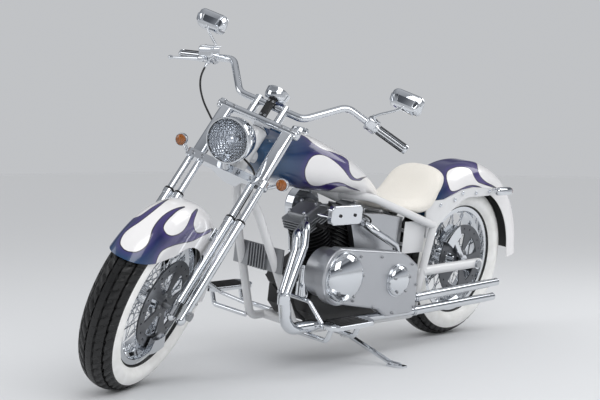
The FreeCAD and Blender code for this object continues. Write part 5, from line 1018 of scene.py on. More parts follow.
class CHOPPER_OT_saddle(PieceOperator, bpy.types.Operator):
    """Padded saddle: its solid remeshed, swollen as cloth, with welted seams"""
    bl_idname = "chopper.saddle"
    bl_label = "Saddle"

    def build(self, sizes, colours):
        fresh()
        piece = bpy.data.objects.new("saddle", frame["nodes"]["seat"].data.copy())
        bpy.context.scene.collection.objects.link(piece)
        weld(piece, 1e-5)
        apply_modifier(piece, "REMESH", mode="VOXEL", voxel_size=0.006)
        apply_modifier(piece, "SMOOTH", factor=0.5, iterations=6)
        mesh = piece.data
        inset = sizes.seat_inset
        normals = [v.normal.copy() for v in mesh.vertices]
        for vertex, normal in zip(mesh.vertices, normals):
            vertex.co -= normal * inset
        self.swell(piece, sizes.seat_cap)
        apply_modifier(piece, "SMOOTH", factor=0.5, iterations=3)
        apply_modifier(piece, "SUBSURF", levels=1, render_levels=1)
        settle(piece, "saddle_cushion", Matrix.Identity(4), "seat_leather", "frame",
               ["seat"])
        smooth(piece, 80.0)
        self.welt(piece)

    def swell(self, piece, cap):
        """Cloth under pressure for twenty steps, each point kept within the cap."""
        only(piece)
        before = np.empty(len(piece.data.vertices) * 3)
        piece.data.vertices.foreach_get("co", before)
        cloth = piece.modifiers.new("cloth", "CLOTH")
        settings = cloth.settings
        settings.use_pressure = True
        settings.uniform_pressure_force = 4.0
        settings.tension_stiffness = 40.0
        settings.compression_stiffness = 40.0
        settings.effector_weights.gravity = 0.0
        scene = bpy.context.scene
        for step in range(1, 21):
            scene.frame_set(step)
        bpy.ops.object.modifier_apply(modifier=cloth.name)
        scene.frame_set(1)
        after = np.empty(len(piece.data.vertices) * 3)
        piece.data.vertices.foreach_get("co", after)
        before, after = before.reshape(-1, 3), after.reshape(-1, 3)
        move = after - before
        far = np.linalg.norm(move, axis=1)
        move *= np.minimum(1.0, cap / np.maximum(far, 1e-9))[:, None]
        piece.data.vertices.foreach_set("co", (before + move).ravel())
        piece.data.update()

    def welt(self, saddle):
        """A sewn welt low on each side, where the cover is drawn round the base."""
        path = [(0.545, 0.062, 0.560), (0.500, 0.098, 0.553), (0.450, 0.120, 0.550),
                (0.400, 0.131, 0.549), (0.350, 0.135, 0.551), (0.300, 0.133, 0.562),
                (0.262, 0.126, 0.582)]
        for side, name in ((1, "left"), (-1, "right")):
            points = [MACHINE @ Vector((x, side * y, z)) for x, y, z in path]
            snapped = []
            for point in points:
                spot, normal = saddle.closest_point_on_mesh(point)[1:3]
                snapped.append(spot + normal * 0.0004)
            line = tube(snapped, 0.0016, sides=3)
            settle(line, "saddle_welt_" + name, Matrix.Identity(4), "seat_leather", "frame")


HEADLAMP = at(0.175, 0, 0.545) @ Matrix.Rotation(math.pi / 2 + RAKE, 4, "Y")


class CHOPPER_OT_headlamp(PieceOperator, bpy.types.Operator):
    """Headlamp: bowl, rim, faceted reflector, bulb and glass"""
    bl_idname = "chopper.headlamp"
    bl_label = "Headlamp"

    def build(self, sizes, colours):
        place = FORK @ HEADLAMP
        bowl = lathe([
            (0.004, -0.1118), (0.016, -0.1108), (0.038, -0.104), (0.055, -0.086),
            (0.0665, -0.064), (0.0725, -0.040), (0.0752, -0.016), (0.076, -0.006),
            (0.0725, -0.004), (0.0725, 0.0), (0.0760, 0.001), (0.0760, 0.011), (0.0745, 0.014),
            (0.0708, 0.014), (0.0700, 0.011), (0.0700, 0.001), (0.066, -0.010), (0.052, -0.036),
            (0.034, -0.054), (0.016, -0.062), (0.004, -0.063)], 96)
        arm = tube([HEADLAMP.inverted() @ Vector(p) for p in
                    ((0.0765, 0, 0.494), (0.100, 0, 0.501), (0.124, 0, 0.512), (0.132, 0, 0.520))],
                   0.0135)
        shell = joined([bowl, arm])
        settle(shell, "headlamp_bowl", place, "chrome", "steering", ["headlamp_shell"],
               angle=30.0)
        reflector = lathe([
            (0.003, -0.0600), (0.016, -0.0590), (0.034, -0.0510), (0.052, -0.0330),
            (0.0655, -0.0075), (0.0695, 0.0012), (0.0690, -0.0050), (0.0640, -0.0150),
            (0.050, -0.0355), (0.033, -0.0530), (0.015, -0.0610), (0.003, -0.0615)], 80)
        settle(reflector, "headlamp_reflector", place, "reflector", "steering",
               angle=30.0)
        bulb = lathe([(0.003, -0.058), (0.010, -0.0575), (0.010, -0.046), (0.0075, -0.045),
                      (0.0085, -0.030), (0.0070, -0.018), (0.0120, -0.0175), (0.0125, -0.010),
                      (0.0080, -0.006), (0.002, -0.005)], 32)
        settle(bulb, "headlamp_bulb", place, "chrome", "steering", angle=30.0)
        glass = lathe([
            (0.0030, 0.0190), (0.020, 0.0187), (0.040, 0.0174), (0.058, 0.0153),
            (0.0695, 0.0125), (0.0697, 0.0100), (0.058, 0.0128), (0.040, 0.0149),
            (0.020, 0.0162), (0.0030, 0.0165)], 80)
        settle(glass, "headlamp_glass", place, "lamp_glass", "steering", ["headlamp_lens"],
               angle=30.0)


class CHOPPER_OT_signals(PieceOperator, bpy.types.Operator):
    """Front signals, rear signals and the tail lamp"""
    bl_idname = "chopper.signals"
    bl_label = "Signals"

    def build(self, sizes, colours):
        forward = HEAD.to_3x3().inverted() @ Vector((1, 0, 0))
        cups, lenses, arms = [], [], []
        for side in (1, -1):
            place = aimed((0.060, side * 0.193, 0.524), forward)
            cup = lathe([(0.003, -0.0215), (0.011, -0.0185), (0.018, -0.012), (0.0215, -0.003),
                         (0.0220, 0.006), (0.0215, 0.009), (0.0195, 0.009), (0.0190, 0.004),
                         (0.003, 0.003)], 40)
            cups.append(put(cup, place))
            lens = lathe([(0.0186, 0.0045), (0.0186, 0.0095), (0.0165, 0.0135), (0.010, 0.0165),
                          (0.002, 0.0175)], 40)
            lenses.append(put(lens, place))
            arms.append(tube([(0.056, side * 0.1555, 0.4965), (0.057, side * 0.164, 0.502),
                              (0.058, side * 0.174, 0.511), (0.059, side * 0.184, 0.519)],
                             0.0068))
        body = joined(cups + arms)
        settle(body, "front_signal_cups", FORK, "chrome", "steering", ["front_signals"],
               angle=32.0)
        lens = joined(lenses)
        settle(lens, "front_signal_lenses", FORK, "amber", "steering", angle=32.0)
        bodies, lenses = [], []
        for side in (1, -1):
            place = aimed((-0.112, side * 0.158, 0.622), (-1, 0, 0))
            shell = lathe([(0.0024, -0.0488), (0.0085, -0.0467), (0.0130, -0.0430),
                           (0.0160, -0.0379), (0.0169, -0.0320), (0.0170, 0.0060),
                           (0.0170, 0.0460), (0.0162, 0.0478), (0.0152, 0.0478),
                           (0.0152, 0.0430), (0.002, 0.0425)], 40)
            lens = lathe([(0.0149, 0.0435), (0.0149, 0.0520), (0.0135, 0.0556),
                          (0.0090, 0.0584), (0.002, 0.0595)], 40)
            bodies += [put(shell, place), tube([
                (-0.112, side * y, 0.622) for y in (0.110, 0.128, 0.148)], 0.0066)]
            lenses.append(put(lens, place))
        direction = math.radians(152)
        out = Vector((math.cos(direction), 0, math.sin(direction)))
        along = Vector((-out.z, 0, out.x))
        lamp_frame = Matrix((along, Vector((0, 1, 0)), out)).transposed().to_4x4()
        lamp_frame = Matrix.Translation(REAR_AXLE + out * 0.406) @ lamp_frame
        bezel = rounded_block((0.032, 0.120, 0.012), 0.005)
        bodies.append(put(bezel, lamp_frame @ at(0, 0, 0.003)))
        glow = rounded_block((0.024, 0.108, 0.010), 0.0045)
        lenses.append(put(glow, lamp_frame @ at(0, 0, 0.0095)))
        shells = joined(bodies)
        settle(shells, "rear_signal_shells", MACHINE, "chrome", "frame", ["rear_lamps"],
               angle=32.0)
        lens = joined(lenses)
        settle(lens, "rear_red_lenses", MACHINE, "red", "frame", angle=32.0)


class CHOPPER_OT_instruments(PieceOperator, bpy.types.Operator):
    """Speedometer with its dial, glass, needle and stay"""
    bl_idname = "chopper.instruments"
    bl_label = "Instruments"

    def build(self, sizes, colours):
        place = FORK @ at(0.025, 0, 0.797)
        cup = lathe([(0.004, 0.0), (0.030, 0.0), (0.0375, 0.003), (0.0415, 0.010),
                     (0.0432, 0.020), (0.0436, 0.028), (0.0442, 0.030), (0.0442, 0.0365),
                     (0.0425, 0.0380), (0.0400, 0.0380), (0.0390, 0.0355), (0.0390, 0.030),
                     (0.004, 0.030)], 72)
        settle(cup, "speedometer_cup", place, "chrome", "steering", ["speedometer"],
               angle=30.0)
        face = lathe([(0.003, 0.0303), (0.0386, 0.0303), (0.0386, 0.0312), (0.003, 0.0312)], 60)
        settle(face, "speedometer_dial", place, "engine_black", "steering")
        tick = rounded_block((0.0036, 0.0007, 0.0003), 0.0001, 1)
        places = [Matrix.Rotation(math.radians(a), 4, "Z") @ at(0.0345, 0, 0.0314)
                  for a in range(-130, 131, 20)]
        settle(copies(tick, places), "speedometer_ticks", place, "frame_powder", "steering")
        needle = rounded_block((0.026, 0.0012, 0.0008), 0.0003, 1)
        settle(needle, "speedometer_needle", place @ Matrix.Rotation(math.radians(-128), 4, "Z")
               @ at(0.010, 0, 0.0325), "red", "steering")
        glass = lathe([(0.003, 0.0352), (0.0386, 0.0348), (0.0386, 0.0362), (0.003, 0.0366)], 60)
        settle(glass, "speedometer_glass", place, "lamp_glass", "steering")
        stay = rounded_block((0.0048, 0.030, 0.084), 0.0015)
        settle(stay, "speedometer_stay", FORK @ at(0.0445, 0, 0.7575),
               "engine_black", "steering")
        bolt = screw_head(0.0045, 0.004)
        spots = [aimed((0.0469, y, z), (1, 0, 0)) for y in (-0.008, 0.008) for z in (0.728, 0.785)]
        settle(copies(bolt, spots), "speedometer_stay_bolts", FORK, "steel", "steering")


class CHOPPER_OT_mirrors(PieceOperator, bpy.types.Operator):
    """Creased mirror shells on thin stalks, with their glasses"""
    bl_idname = "chopper.mirrors"
    bl_label = "Mirrors"

    def build(self, sizes, colours):
        place = at(-0.038, 0.388, 1.018) @ Matrix.Rotation(RAKE, 4, "Y")
        shell = put(self.shell(), place)
        stalk = tube([(-0.042, 0.3090, 0.9130), (-0.041, 0.3140, 0.9300), (-0.030, 0.3560, 0.9560),
                      (-0.024, 0.3820, 0.9760), (-0.022, 0.3920, 0.9930)], 0.0044)
        foot = lathe([(0.0085, 0.0), (0.0085, 0.010), (0.0060, 0.013), (0.0046, 0.020)], 24)
        foot.matrix_world = aimed((-0.042, 0.3085, 0.9080), (0.02, 0.1, 1))
        mirrors = mirrored(joined([shell, stalk, foot]))
        settle(mirrors, "mirror_shells", FORK, "chrome", "steering", ["mirrors"], angle=34.0)
        glass = rounded_block((0.0016, 0.1080, 0.0600), 0.0007, 1)
        self.round_corners(glass, 0.0190)
        put(glass, place @ at(-0.0002, 0, 0))
        settle(mirrored(glass), "mirror_glasses", FORK, "mirror_glass", "steering")

    def round_corners(self, piece, radius):
        """Rounds the corners that run front to back."""
        points = piece.data.vertices

        def lengthwise(edge):
            run = points[edge.vertices[0]].co - points[edge.vertices[1]].co
            return abs(run.x) > 0.9 * run.length

        pick(piece, "EDGE", lengthwise)
        with editing(select=None):
            bpy.ops.mesh.bevel(offset=radius, segments=6, affect="EDGES")

    def shell(self):
        """An oblong cup whose back rises in steps to a crease below its middle."""
        fresh()
        bpy.ops.mesh.primitive_cube_add(size=1)
        shell = bpy.context.object
        shell.scale = (0.010, 0.1200, 0.0700)
        shell.location = (0.005, 0, 0)
        bpy.ops.object.transform_apply(location=True, scale=True)
        self.round_corners(shell, 0.0230)
        for face in shell.data.polygons:
            face.select = face.normal.x > 0.99
        steps = ((0.0075, 0.95, 0.90, 0.0), (0.0090, 0.88, 0.72, -0.0030),
                 (0.0065, 0.82, 0.34, -0.0060))
        reach = 0.010
        with editing("FACE", None):
            for depth, wide, high, drop in steps:
                bpy.ops.mesh.extrude_region_move(
                    TRANSFORM_OT_translate={"value": (depth, 0, drop)})
                reach += depth
                bpy.ops.transform.resize(value=(1, wide, high),
                                         center_override=(reach, 0, drop * 2))
        for face in shell.data.polygons:
            face.select = face.normal.x < -0.99
        with editing(select=None):
            bpy.ops.mesh.inset(thickness=0.0030)
            bpy.ops.mesh.extrude_region_move(TRANSFORM_OT_translate={"value": (0.0012, 0, 0)})
        apply_modifier(shell, "BEVEL", width=0.0022, segments=3, limit_method="ANGLE",
                       angle_limit=math.radians(14))
        outward(shell)
        return shell


class CHOPPER_OT_controls(PieceOperator, bpy.types.Operator):
    """Ribbed grips, switch housings, brake cylinder and ball-ended lever"""
    bl_idname = "chopper.controls"
    bl_label = "Controls"

    def build(self, sizes, colours):
        end = Vector((-0.100, 0.450, 0.882))
        rise = Vector((-0.008, 0.224, 0.899))
        line = (rise - end).normalized()
        place = aimed(end - line * 0.004, line)
        sleeve = lathe([(0.0132, 0.0042), (0.0155, 0.0042), (0.0155, 0.1215), (0.0170, 0.1220),
                        (0.0170, 0.1255), (0.0132, 0.1260)], 48, ring=True)
        cap = lathe([(0.004, 0.0), (0.0125, 0.0004), (0.0160, 0.0022), (0.0170, 0.0050),
                     (0.0170, 0.0105), (0.0160, 0.0110), (0.0132, 0.0110), (0.0132, 0.0044),
                     (0.004, 0.0042)], 48)
        metal = mirrored(joined([put(sleeve, place), put(cap, place)]))
        settle(metal, "grip_sleeves", FORK, "chrome", "steering", ["grips"], angle=32.0)
        rib = rounded_block((0.0036, 0.0032, 0.108), 0.0012, 2)
        places = [Matrix.Rotation(math.radians(30 * i), 4, "Z")
                  @ at(0.0152, 0, 0.0665) for i in range(12)]
        ribs = mirrored(put(copies(rib, places), place))
        settle(ribs, "grip_ribs", FORK, "black_rubber", "steering")
        middle = end + line * (0.122 + 0.0203)
        turn = HEAD.to_3x3().inverted()
        ahead, up = turn @ Vector((1, 0, 0)), turn @ Vector((0, 0, 1))
        housing = lathe([(0.0134, -0.0205), (0.0225, -0.0205), (0.0250, -0.0180),
                         (0.0250, -0.0012), (0.0242, 0.0), (0.0250, 0.0012), (0.0250, 0.0180),
                         (0.0225, 0.0205), (0.0134, 0.0205)], 48, ring=True)
        housing.matrix_world = aimed(middle, line)
        switch = rounded_block((0.038, 0.038, 0.040), 0.009)
        switch.matrix_world = self.level(middle + ahead * 0.012 + up * 0.008, line, ahead)
        pair = mirrored(joined([housing, switch]))
        middle_right = Vector((middle.x, -middle.y, middle.z))
        inward = Vector((line.x, -line.y, line.z))
        cylinder_centre = middle_right + ahead * 0.028 + up * 0.020 - inward * 0.004
        cylinder = rounded_block((0.046, 0.066, 0.040), 0.008, 4)
        cylinder.matrix_world = self.level(cylinder_centre, inward, ahead)
        perch = rounded_block((0.026, 0.030, 0.020), 0.006)
        pivot = middle_right + ahead * 0.048 - up * 0.006 - inward * 0.014
        perch.matrix_world = self.level(pivot, inward, ahead)
        lever = lathe([(0.0040, 0.0), (0.0085, 0.003), (0.0085, 0.028), (0.0068, 0.060),
                       (0.0050, 0.118), (0.0046, 0.130), (0.0062, 0.1335), (0.0080, 0.1385),
                       (0.0082, 0.1420), (0.0066, 0.1475), (0.0020, 0.1500)], 32)
        lever.matrix_world = aimed(pivot, ahead * 0.08 - up * 0.04 - inward)
        union = rounded_block((0.016, 0.016, 0.030), 0.005)
        union.matrix_world = self.level(Vector(HOSE_ROUTE[0]) + up * 0.010, inward, ahead)
        controls = joined([pair, cylinder, perch, lever, union])
        settle(controls, "hand_control_castings", FORK, "chrome", "steering",
               ["hand_controls"], angle=34.0)
        lid = rounded_block((0.042, 0.062, 0.005), 0.0018)
        lid_place = self.level(cylinder_centre + up * 0.0215, inward, ahead)
        settle(lid, "reservoir_lid", FORK @ lid_place, "chrome", "steering")
        screw = screw_head(0.0026, 0.002)
        spots = [lid_place @ at(0, side * 0.024, 0.0023) for side in (1, -1)]
        settle(copies(screw, spots), "reservoir_screws", FORK, "steel", "steering")
        button = rounded_block((0.009, 0.007, 0.005), 0.0015)
        spots = []
        for side in (1, -1):
            for shift in (-0.009, 0.006):
                spot = middle + line * shift - ahead * 0.0242
                spots.append(aimed((spot.x, side * spot.y, spot.z), -ahead))
        settle(copies(button, spots), "switch_buttons", FORK, "black_rubber", "steering")

    def level(self, centre, along, ahead):
        """A place at the centre with X ahead, Y along the bar and Z upwards."""
        side = along.normalized() * (1 if along.y > 0 else -1)
        front = (ahead - side * ahead.dot(side)).normalized()
        turn = Matrix((front, side, front.cross(side))).transposed().to_4x4()
        return Matrix.Translation(centre) @ turn


class CHOPPER_OT_fork_trim(PieceOperator, bpy.types.Operator):
    """Fork covers, upper clamp, seals, pinch bolts, stem nut and drain screws"""
    bl_idname = "chopper.fork_trim"
    bl_label = "Fork trim"

    def build(self, sizes, colours):
        inner, outer = 0.099, 0.136
        legs = [side * left for side in (1, -1) for left in (inner, outer)]
        spots = [at(FORK_OFFSET, y, 0) for y in legs]
        low = copies(lathe([(0.0115, 0.308), (0.0115, 0.5062)], 40), spots)
        high = copies(lathe([(0.0115, 0.690), (0.0115, 0.712)], 40), spots)
        cover = rounded_block((0.032, 0.046, 0.210), 0.0125, 5)
        covers = copies(cover, [at(FORK_OFFSET, side * 0.1175, 0.598)
                                for side in (1, -1)])
        settle(joined([low, high, covers]), "fork_upper_covers", FORK, "chrome", "steering",
               ["fork_tubes"])
        bridge = rounded_block((0.039, 0.311, 0.026), 0.0120, 5)
        bridge.matrix_world = at(FORK_OFFSET, 0, 0.702)
        neck = rounded_block((0.078, 0.058, 0.0250), 0.0100, 4)
        neck.matrix_world = at(0.012, 0, 0.702)
        boss = lathe([(0.0120, -0.0165), (0.0148, -0.0150), (0.0158, -0.0120),
                      (0.0158, 0.0120), (0.0148, 0.0150), (0.0120, 0.0165)], 40)
        bosses = copies(boss, [at(FORK_OFFSET, side * 0.1400, 0.702)
                               for side in (1, -1)])
        clamp = joined([bridge, neck, bosses])
        settle(clamp, "upper_clamp_casting", FORK, "chrome", "steering", ["upper_clamp"],
               angle=40.0)
        seal = lathe([(0.0119, 0.0), (0.0165, 0.0), (0.0172, 0.002), (0.0160, 0.006),
                      (0.0119, 0.009)], 32, ring=True)
        settle(copies(seal, [at(FORK_OFFSET, y, 0.3463) for y in legs]),
               "fork_seals", FORK, "black_rubber", "steering")
        bolt = screw_head(0.005, 0.005)
        front = FORK_OFFSET + 0.0195
        spots = [aimed((front, y * 0.93, along), (1, 0, 0))
                 for y in legs[::2] + legs[1::2] for along in (0.494, 0.702)]
        settle(copies(bolt, spots), "clamp_pinch_bolts", FORK, "steel", "steering")
        nut = screw_head(0.0165, 0.009, 6, socket=False)
        settle(nut, "stem_nut", FORK @ at(0, 0, 0.7238), "chrome", "steering")
        drain = screw_head(0.004, 0.004)
        spots = [aimed((FORK_OFFSET, y + math.copysign(0.0150, y), 0.045), (0, y, 0))
                 for y in legs if abs(y) == outer]
        settle(copies(drain, spots), "fork_drain_screws", FORK, "steel", "steering")


CRANK = Vector((0.800, 0, 0.300))
VEE = math.radians(27)            # half the angle between the cylinders


class CHOPPER_OT_engine_trim(PieceOperator, bpy.types.Operator):
    """Head bolts, spark plugs and leads, pushrod tubes, carburettor and oil lines"""
    bl_idname = "chopper.engine_trim"
    bl_label = "Engine trim"

    def build(self, sizes, colours):
        bolts, plugs, leads, rods = [], [], [], []
        for way in (1, -1):
            axis = Matrix.Translation(CRANK) @ Matrix.Rotation(way * VEE, 4, "Y")
            for x in (-0.034, 0.034):
                for y in (-0.034, 0.034):
                    bolts.append(axis @ at(x, y, 0.298))
            plugs.append(axis @ aimed((0.012 * way, 0.0635, 0.246), (0, 1, -0.15)))
            start = axis @ Vector((0.012 * way, 0.088, 0.242))
            leads.append([start, start + Vector((0, 0.022, 0.004)),
                          start + Vector((-0.010 * way, 0.030, 0.030)),
                          Vector((0.845 + 0.03 * way, 0.120, 0.575)),
                          Vector((0.850 + 0.02 * way, 0.060, 0.590))])
            for offset in (-0.016, 0.016):
                foot = CRANK + Vector((way * 0.045 + offset, -0.100, 0.078))
                rods.append((foot, axis @ Vector((offset * 1.4 - 0.006 * way, -0.0665, 0.262))))
        bolt = screw_head(0.0062, 0.006)
        settle(copies(bolt, bolts), "rocker_bolts", MACHINE, "chrome", "frame")
        plug = lathe([(0.009, 0.0), (0.009, 0.006), (0.0055, 0.007), (0.0055, 0.014),
                      (0.0085, 0.015), (0.0085, 0.034), (0.004, 0.036)], 24)
        settle(copies(plug, plugs), "spark_plugs", MACHINE, "black_rubber", "frame")
        lines = joined([tube(path, 0.0035) for path in leads])
        settle(lines, "plug_leads", MACHINE, "black_rubber", "frame")
        tubes = []
        for foot, top in rods:
            length = (top - foot).length
            rod = lathe([(0.010, 0.0), (0.010, 0.010), (0.0075, 0.012), (0.0075, length * 0.62),
                         (0.0095, length * 0.64), (0.0095, length * 0.72), (0.0070, length * 0.74),
                         (0.0070, length)], 24)
            tubes.append(put(rod, aimed(foot, top - foot)))
        tubes = joined(tubes)
        settle(tubes, "pushrod_tubes", MACHINE, "chrome", "frame", angle=32.0)
        carb = lathe([(0.020, 0.0), (0.026, 0.002), (0.026, 0.012), (0.021, 0.014),
                      (0.021, 0.040), (0.030, 0.042), (0.030, 0.056), (0.020, 0.058)], 40)
        settle(carb, "carburettor", MACHINE @ aimed((0.800, -0.042, 0.548), (0, -1, 0)),
               "cast_alloy", "frame", angle=32.0)
        disc = lathe([(0.003, 0.0), (0.050, 0.0), (0.054, 0.0015), (0.054, 0.003),
                       (0.044, 0.0045), (0.042, 0.003), (0.004, 0.0035)], 64)
        settle(disc, "air_cleaner_ring", MACHINE @ aimed((0.800, -0.1498, 0.548), (0, -1, 0)),
               "satin_silver", "frame", angle=32.0)
        lines = joined([
            tube([(1.000, 0.060, 0.300), (1.030, 0.072, 0.268), (1.018, 0.080, 0.215),
                  (0.970, 0.092, 0.180)], 0.006),
            tube([(0.705, 0.030, 0.470), (0.690, 0.060, 0.452), (0.660, 0.074, 0.420),
                  (0.628, 0.080, 0.380), (0.606, 0.086, 0.350)], 0.006),
            tube([(0.990, 0.020, 0.250), (1.025, 0.010, 0.262), (1.050, -0.010, 0.300),
                  (1.070, -0.020, 0.330)], 0.0045)])
        settle(lines, "oil_lines", MACHINE, "black_rubber", "frame")
        cap = lathe([(0.014, 0.0), (0.020, 0.001), (0.020, 0.010), (0.016, 0.013),
                     (0.003, 0.014)], 32)
        settle(cap, "oil_filler_cap", MACHINE @ aimed((0.585, -0.055, 0.535), (0.1, 0, 1)),
               "chrome", "frame", angle=32.0)


def dome_screws(centre, radius, count, start, left, slope):
    """Places of the screws round a dome on the drive cover, square to its slope."""
    spots = []
    for index in range(count):
        angle = math.radians(start + 360 / count * index)
        c, s = math.cos(angle), math.sin(angle)
        spots.append(aimed((centre[0] + radius * c, left, centre[1] + radius * s),
                           (slope * c, 1, slope * s)))
    return spots


def polished_dome(radius, height):
    """A lipped dome whose side rises steeply and rounds over like half a ball."""
    lip = 0.0045
    profile = [(radius, 0.0), (radius, lip * 0.7), (radius - 0.001, lip), (radius - 0.0030, lip)]
    for step in range(13):
        turn = math.radians(90 * step / 12.6)
        profile.append(((radius - 0.0035) * math.cos(turn), lip + (height - lip) * math.sin(turn)))
    return lathe(profile, 96)


BIG_DOME, SMALL_DOME = (0.947, 0.363), (0.632, 0.326)      # ahead and up, on the drive cover
DOME_FOOT = 0.2263                # the cover's face, to the machine's left
PLATE_SCREWS = ((0.862, 0.430), (0.740, 0.420), (0.552, 0.380), (0.512, 0.300),
                (0.514, 0.215), (0.640, 0.204), (0.760, 0.238), (0.880, 0.272))


class CHOPPER_OT_cover_trim(PieceOperator, bpy.types.Operator):
    """Polished domes of the drive cover, and the screws of all covers"""
    bl_idname = "chopper.cover_trim"
    bl_label = "Cover trim"

    def build(self, sizes, colours):
        domes = []
        for (x, z), radius, height in ((BIG_DOME, 0.092, 0.052), (SMALL_DOME, 0.062, 0.034)):
            domes.append(put(polished_dome(radius, height),
                             aimed((x, DOME_FOOT, z), (0, 1, 0))))
        domes = joined(domes)
        settle(domes, "drive_cover_domes", MACHINE, "chrome", "frame", ["cover_domes"],
               angle=40.0)
        spots = dome_screws(SMALL_DOME, 0.045, 5, 18, 0.2510, 0.55)
        spots += dome_screws(BIG_DOME, 0.070, 5, 30, 0.2600, 0.66)
        spots += [aimed((x, 0.2270, z), (0, 1, 0)) for x, z in PLATE_SCREWS]
        settle(copies(screw_head(0.0052, 0.0042), spots), "drive_cover_screws", MACHINE, "steel",
               "frame")
        spots = [aimed((x, 0.1478, 0.561), (0, 1, 0)) for x in (0.822, 0.902)]
        settle(copies(screw_head(0.006, 0.0035), spots), "coil_cover_screws", MACHINE,
               "engine_black", "frame")
        spots = [aimed(CRANK + Vector((0.074 * math.cos(a), -0.1162, 0.074 * math.sin(a))),
                       (0, -1, 0)) for a in (math.radians(72 * i + 18) for i in range(5))]
        settle(copies(screw_head(0.005, 0.0045), spots), "timing_cover_screws", MACHINE, "steel",
               "frame")
        ring = lathe([(0.030, 0.0), (0.034, 0.0), (0.034, 0.0018), (0.030, 0.0018)], 56, ring=True)
        settle(ring, "timing_cover_ring", MACHINE @ aimed((CRANK.x, -0.1163, CRANK.z), (0, -1, 0)),
               "engine_black", "frame")


class CHOPPER_OT_frame_trim(PieceOperator, bpy.types.Operator):
    """Strut bolts, axle washers, floorboard and pedal ribs, side panel faces"""
    bl_idname = "chopper.frame_trim"
    bl_label = "Frame trim"

    def build(self, sizes, colours):
        holes = ((0.251, 0.569), (0.157, 0.588), (0.108, 0.613), (0.013, 0.611), (-0.083, 0.615))
        spots = [aimed((x, side * 0.1094, z), (0, side, 0)) for side in (1, -1) for x, z in holes]
        settle(copies(screw_head(0.0078, 0.0055), spots), "strut_bolts", MACHINE, "chrome",
               "frame")
        washer = lathe([(0.012, 0.0), (0.020, 0.0), (0.0205, 0.002), (0.012, 0.0025)], 32,
                       ring=True)
        spots = [aimed((0.0, side * 0.1553, REAR_AXLE.z), (0, side, 0)) for side in (1, -1)]
        settle(copies(washer, spots), "rear_axle_washers", MACHINE, "chrome", "frame")
        rib = rounded_block((0.150, 0.0075, 0.004), 0.0018, 2)
        places = [at(0.982, side * (0.296 + 0.014 * k), 0.2282)
                  for side in (1, -1) for k in (-2, -1, 0, 1, 2)]
        settle(copies(rib, places), "floorboard_ribs", MACHINE, "black_rubber", "frame")
        rib = rounded_block((0.006, 0.040, 0.003), 0.0013, 2)
        places = [at(1.116 + 0.011 * k, -0.282, 0.2735)
                  for k in range(5)]
        settle(copies(rib, places), "pedal_ribs", MACHINE, "black_rubber", "frame")
        edge = rounded_block((0.132, 0.0025, 0.124), 0.001)
        places = [at(0.408, side * 0.1154, 0.452) for side in (1, -1)]
        settle(copies(edge, places), "side_panel_faces", MACHINE, "frame_powder", "frame")


class CHOPPER_OT_exhaust_trim(PieceOperator, bpy.types.Operator):
    """The mufflers' clamps"""
    bl_idname = "chopper.exhaust_trim"
    bl_label = "Exhaust trim"

    def build(self, sizes, colours):
        clamp = lathe([(0.0172, 0.0), (0.0188, 0.0005), (0.0188, 0.0115), (0.0172, 0.012)], 40,
                      ring=True)
        spots = [aimed((x, 0.195, z), (-1, 0, tilt)) for x, z, tilt in
                 ((0.462, 0.2382, 0.025), (0.462, 0.186, 0.011))]
        settle(copies(clamp, spots), "muffler_clamps", MACHINE, "chrome", "frame")


# The brake hose: the route's points in the fork's frame, in metres

HOSE_ROUTE = [
    (-0.038, -0.316, 0.862), (-0.042, -0.318, 0.822), (-0.034, -0.292, 0.768),
    (-0.014, -0.240, 0.712), (0.006, -0.184, 0.668), (0.020, -0.136, 0.632),
    (0.038, -0.084, 0.600), (0.054, -0.030, 0.574), (0.052, 0.026, 0.556),
    (0.040, 0.072, 0.540), (0.027, 0.098, 0.505), (0.025, 0.100, 0.440),
    (0.025, 0.100, 0.370), (0.025, 0.099, 0.300), (0.022, 0.098, 0.232),
    (0.012, 0.092, 0.176), (-0.006, 0.085, 0.148),
]


class CHOPPER_OT_brake_hose(PieceOperator, bpy.types.Operator):
    """The hose from the hand lever's cylinder to the front caliper"""
    bl_idname = "chopper.brake_hose"
    bl_label = "Brake hose"

    def build(self, sizes, colours):
        route = [FORK @ Vector(spot) for spot in HOSE_ROUTE]
        hose = drawn_curve("brake_hose_line", route, sizes.hose_diameter / 2, 4, 12)
        hose.data.materials.append(MATERIALS["black_rubber"])
        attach(hose, "steering")
        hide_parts("brake_hose")
        ends = []
        for first, second in ((route[0], route[1]), (route[-1], route[-2])):
            fitting = lathe([(0.0042, 0.0), (0.0058, 0.001), (0.0058, 0.010), (0.0045, 0.012),
                             (0.0045, 0.020), (0.0037, 0.022)], 20)
            ends.append(put(fitting, aimed(first, second - first)))
        ends = joined(ends)
        settle(ends, "brake_hose_fittings", Matrix.Identity(4), "chrome", "steering", angle=32.0)


CAMERA_PLACE = Vector((3.48604, 2.90616, 0.75537))
CAMERA_AIM = Vector((-0.746837, -0.663854, -0.039157))
CAMERA_ROLL = 0.00252
CAMERA_LENS, SENSOR_WIDTH = 74.92, 36.0
WORLD_LIGHT = 0.8
ROOM_STOPS = ((0.0, "C9CBCF"), (0.12, "B0B3B8"), (0.34, "5A5D63"), (0.45, "484B50"),
              (0.55, "A3A6AB"), (0.70, "888B90"), (0.9, "B9BBBF"))
LAMPS = (
    ("key_lamp", (2.2, 3.2, 3.4), 3.0, 80.0),
    ("fill_lamp", (3.6, -2.4, 2.6), 2.4, 30.0),
    ("rim_lamp", (-2.8, 1.6, 2.8), 2.2, 40.0),
)


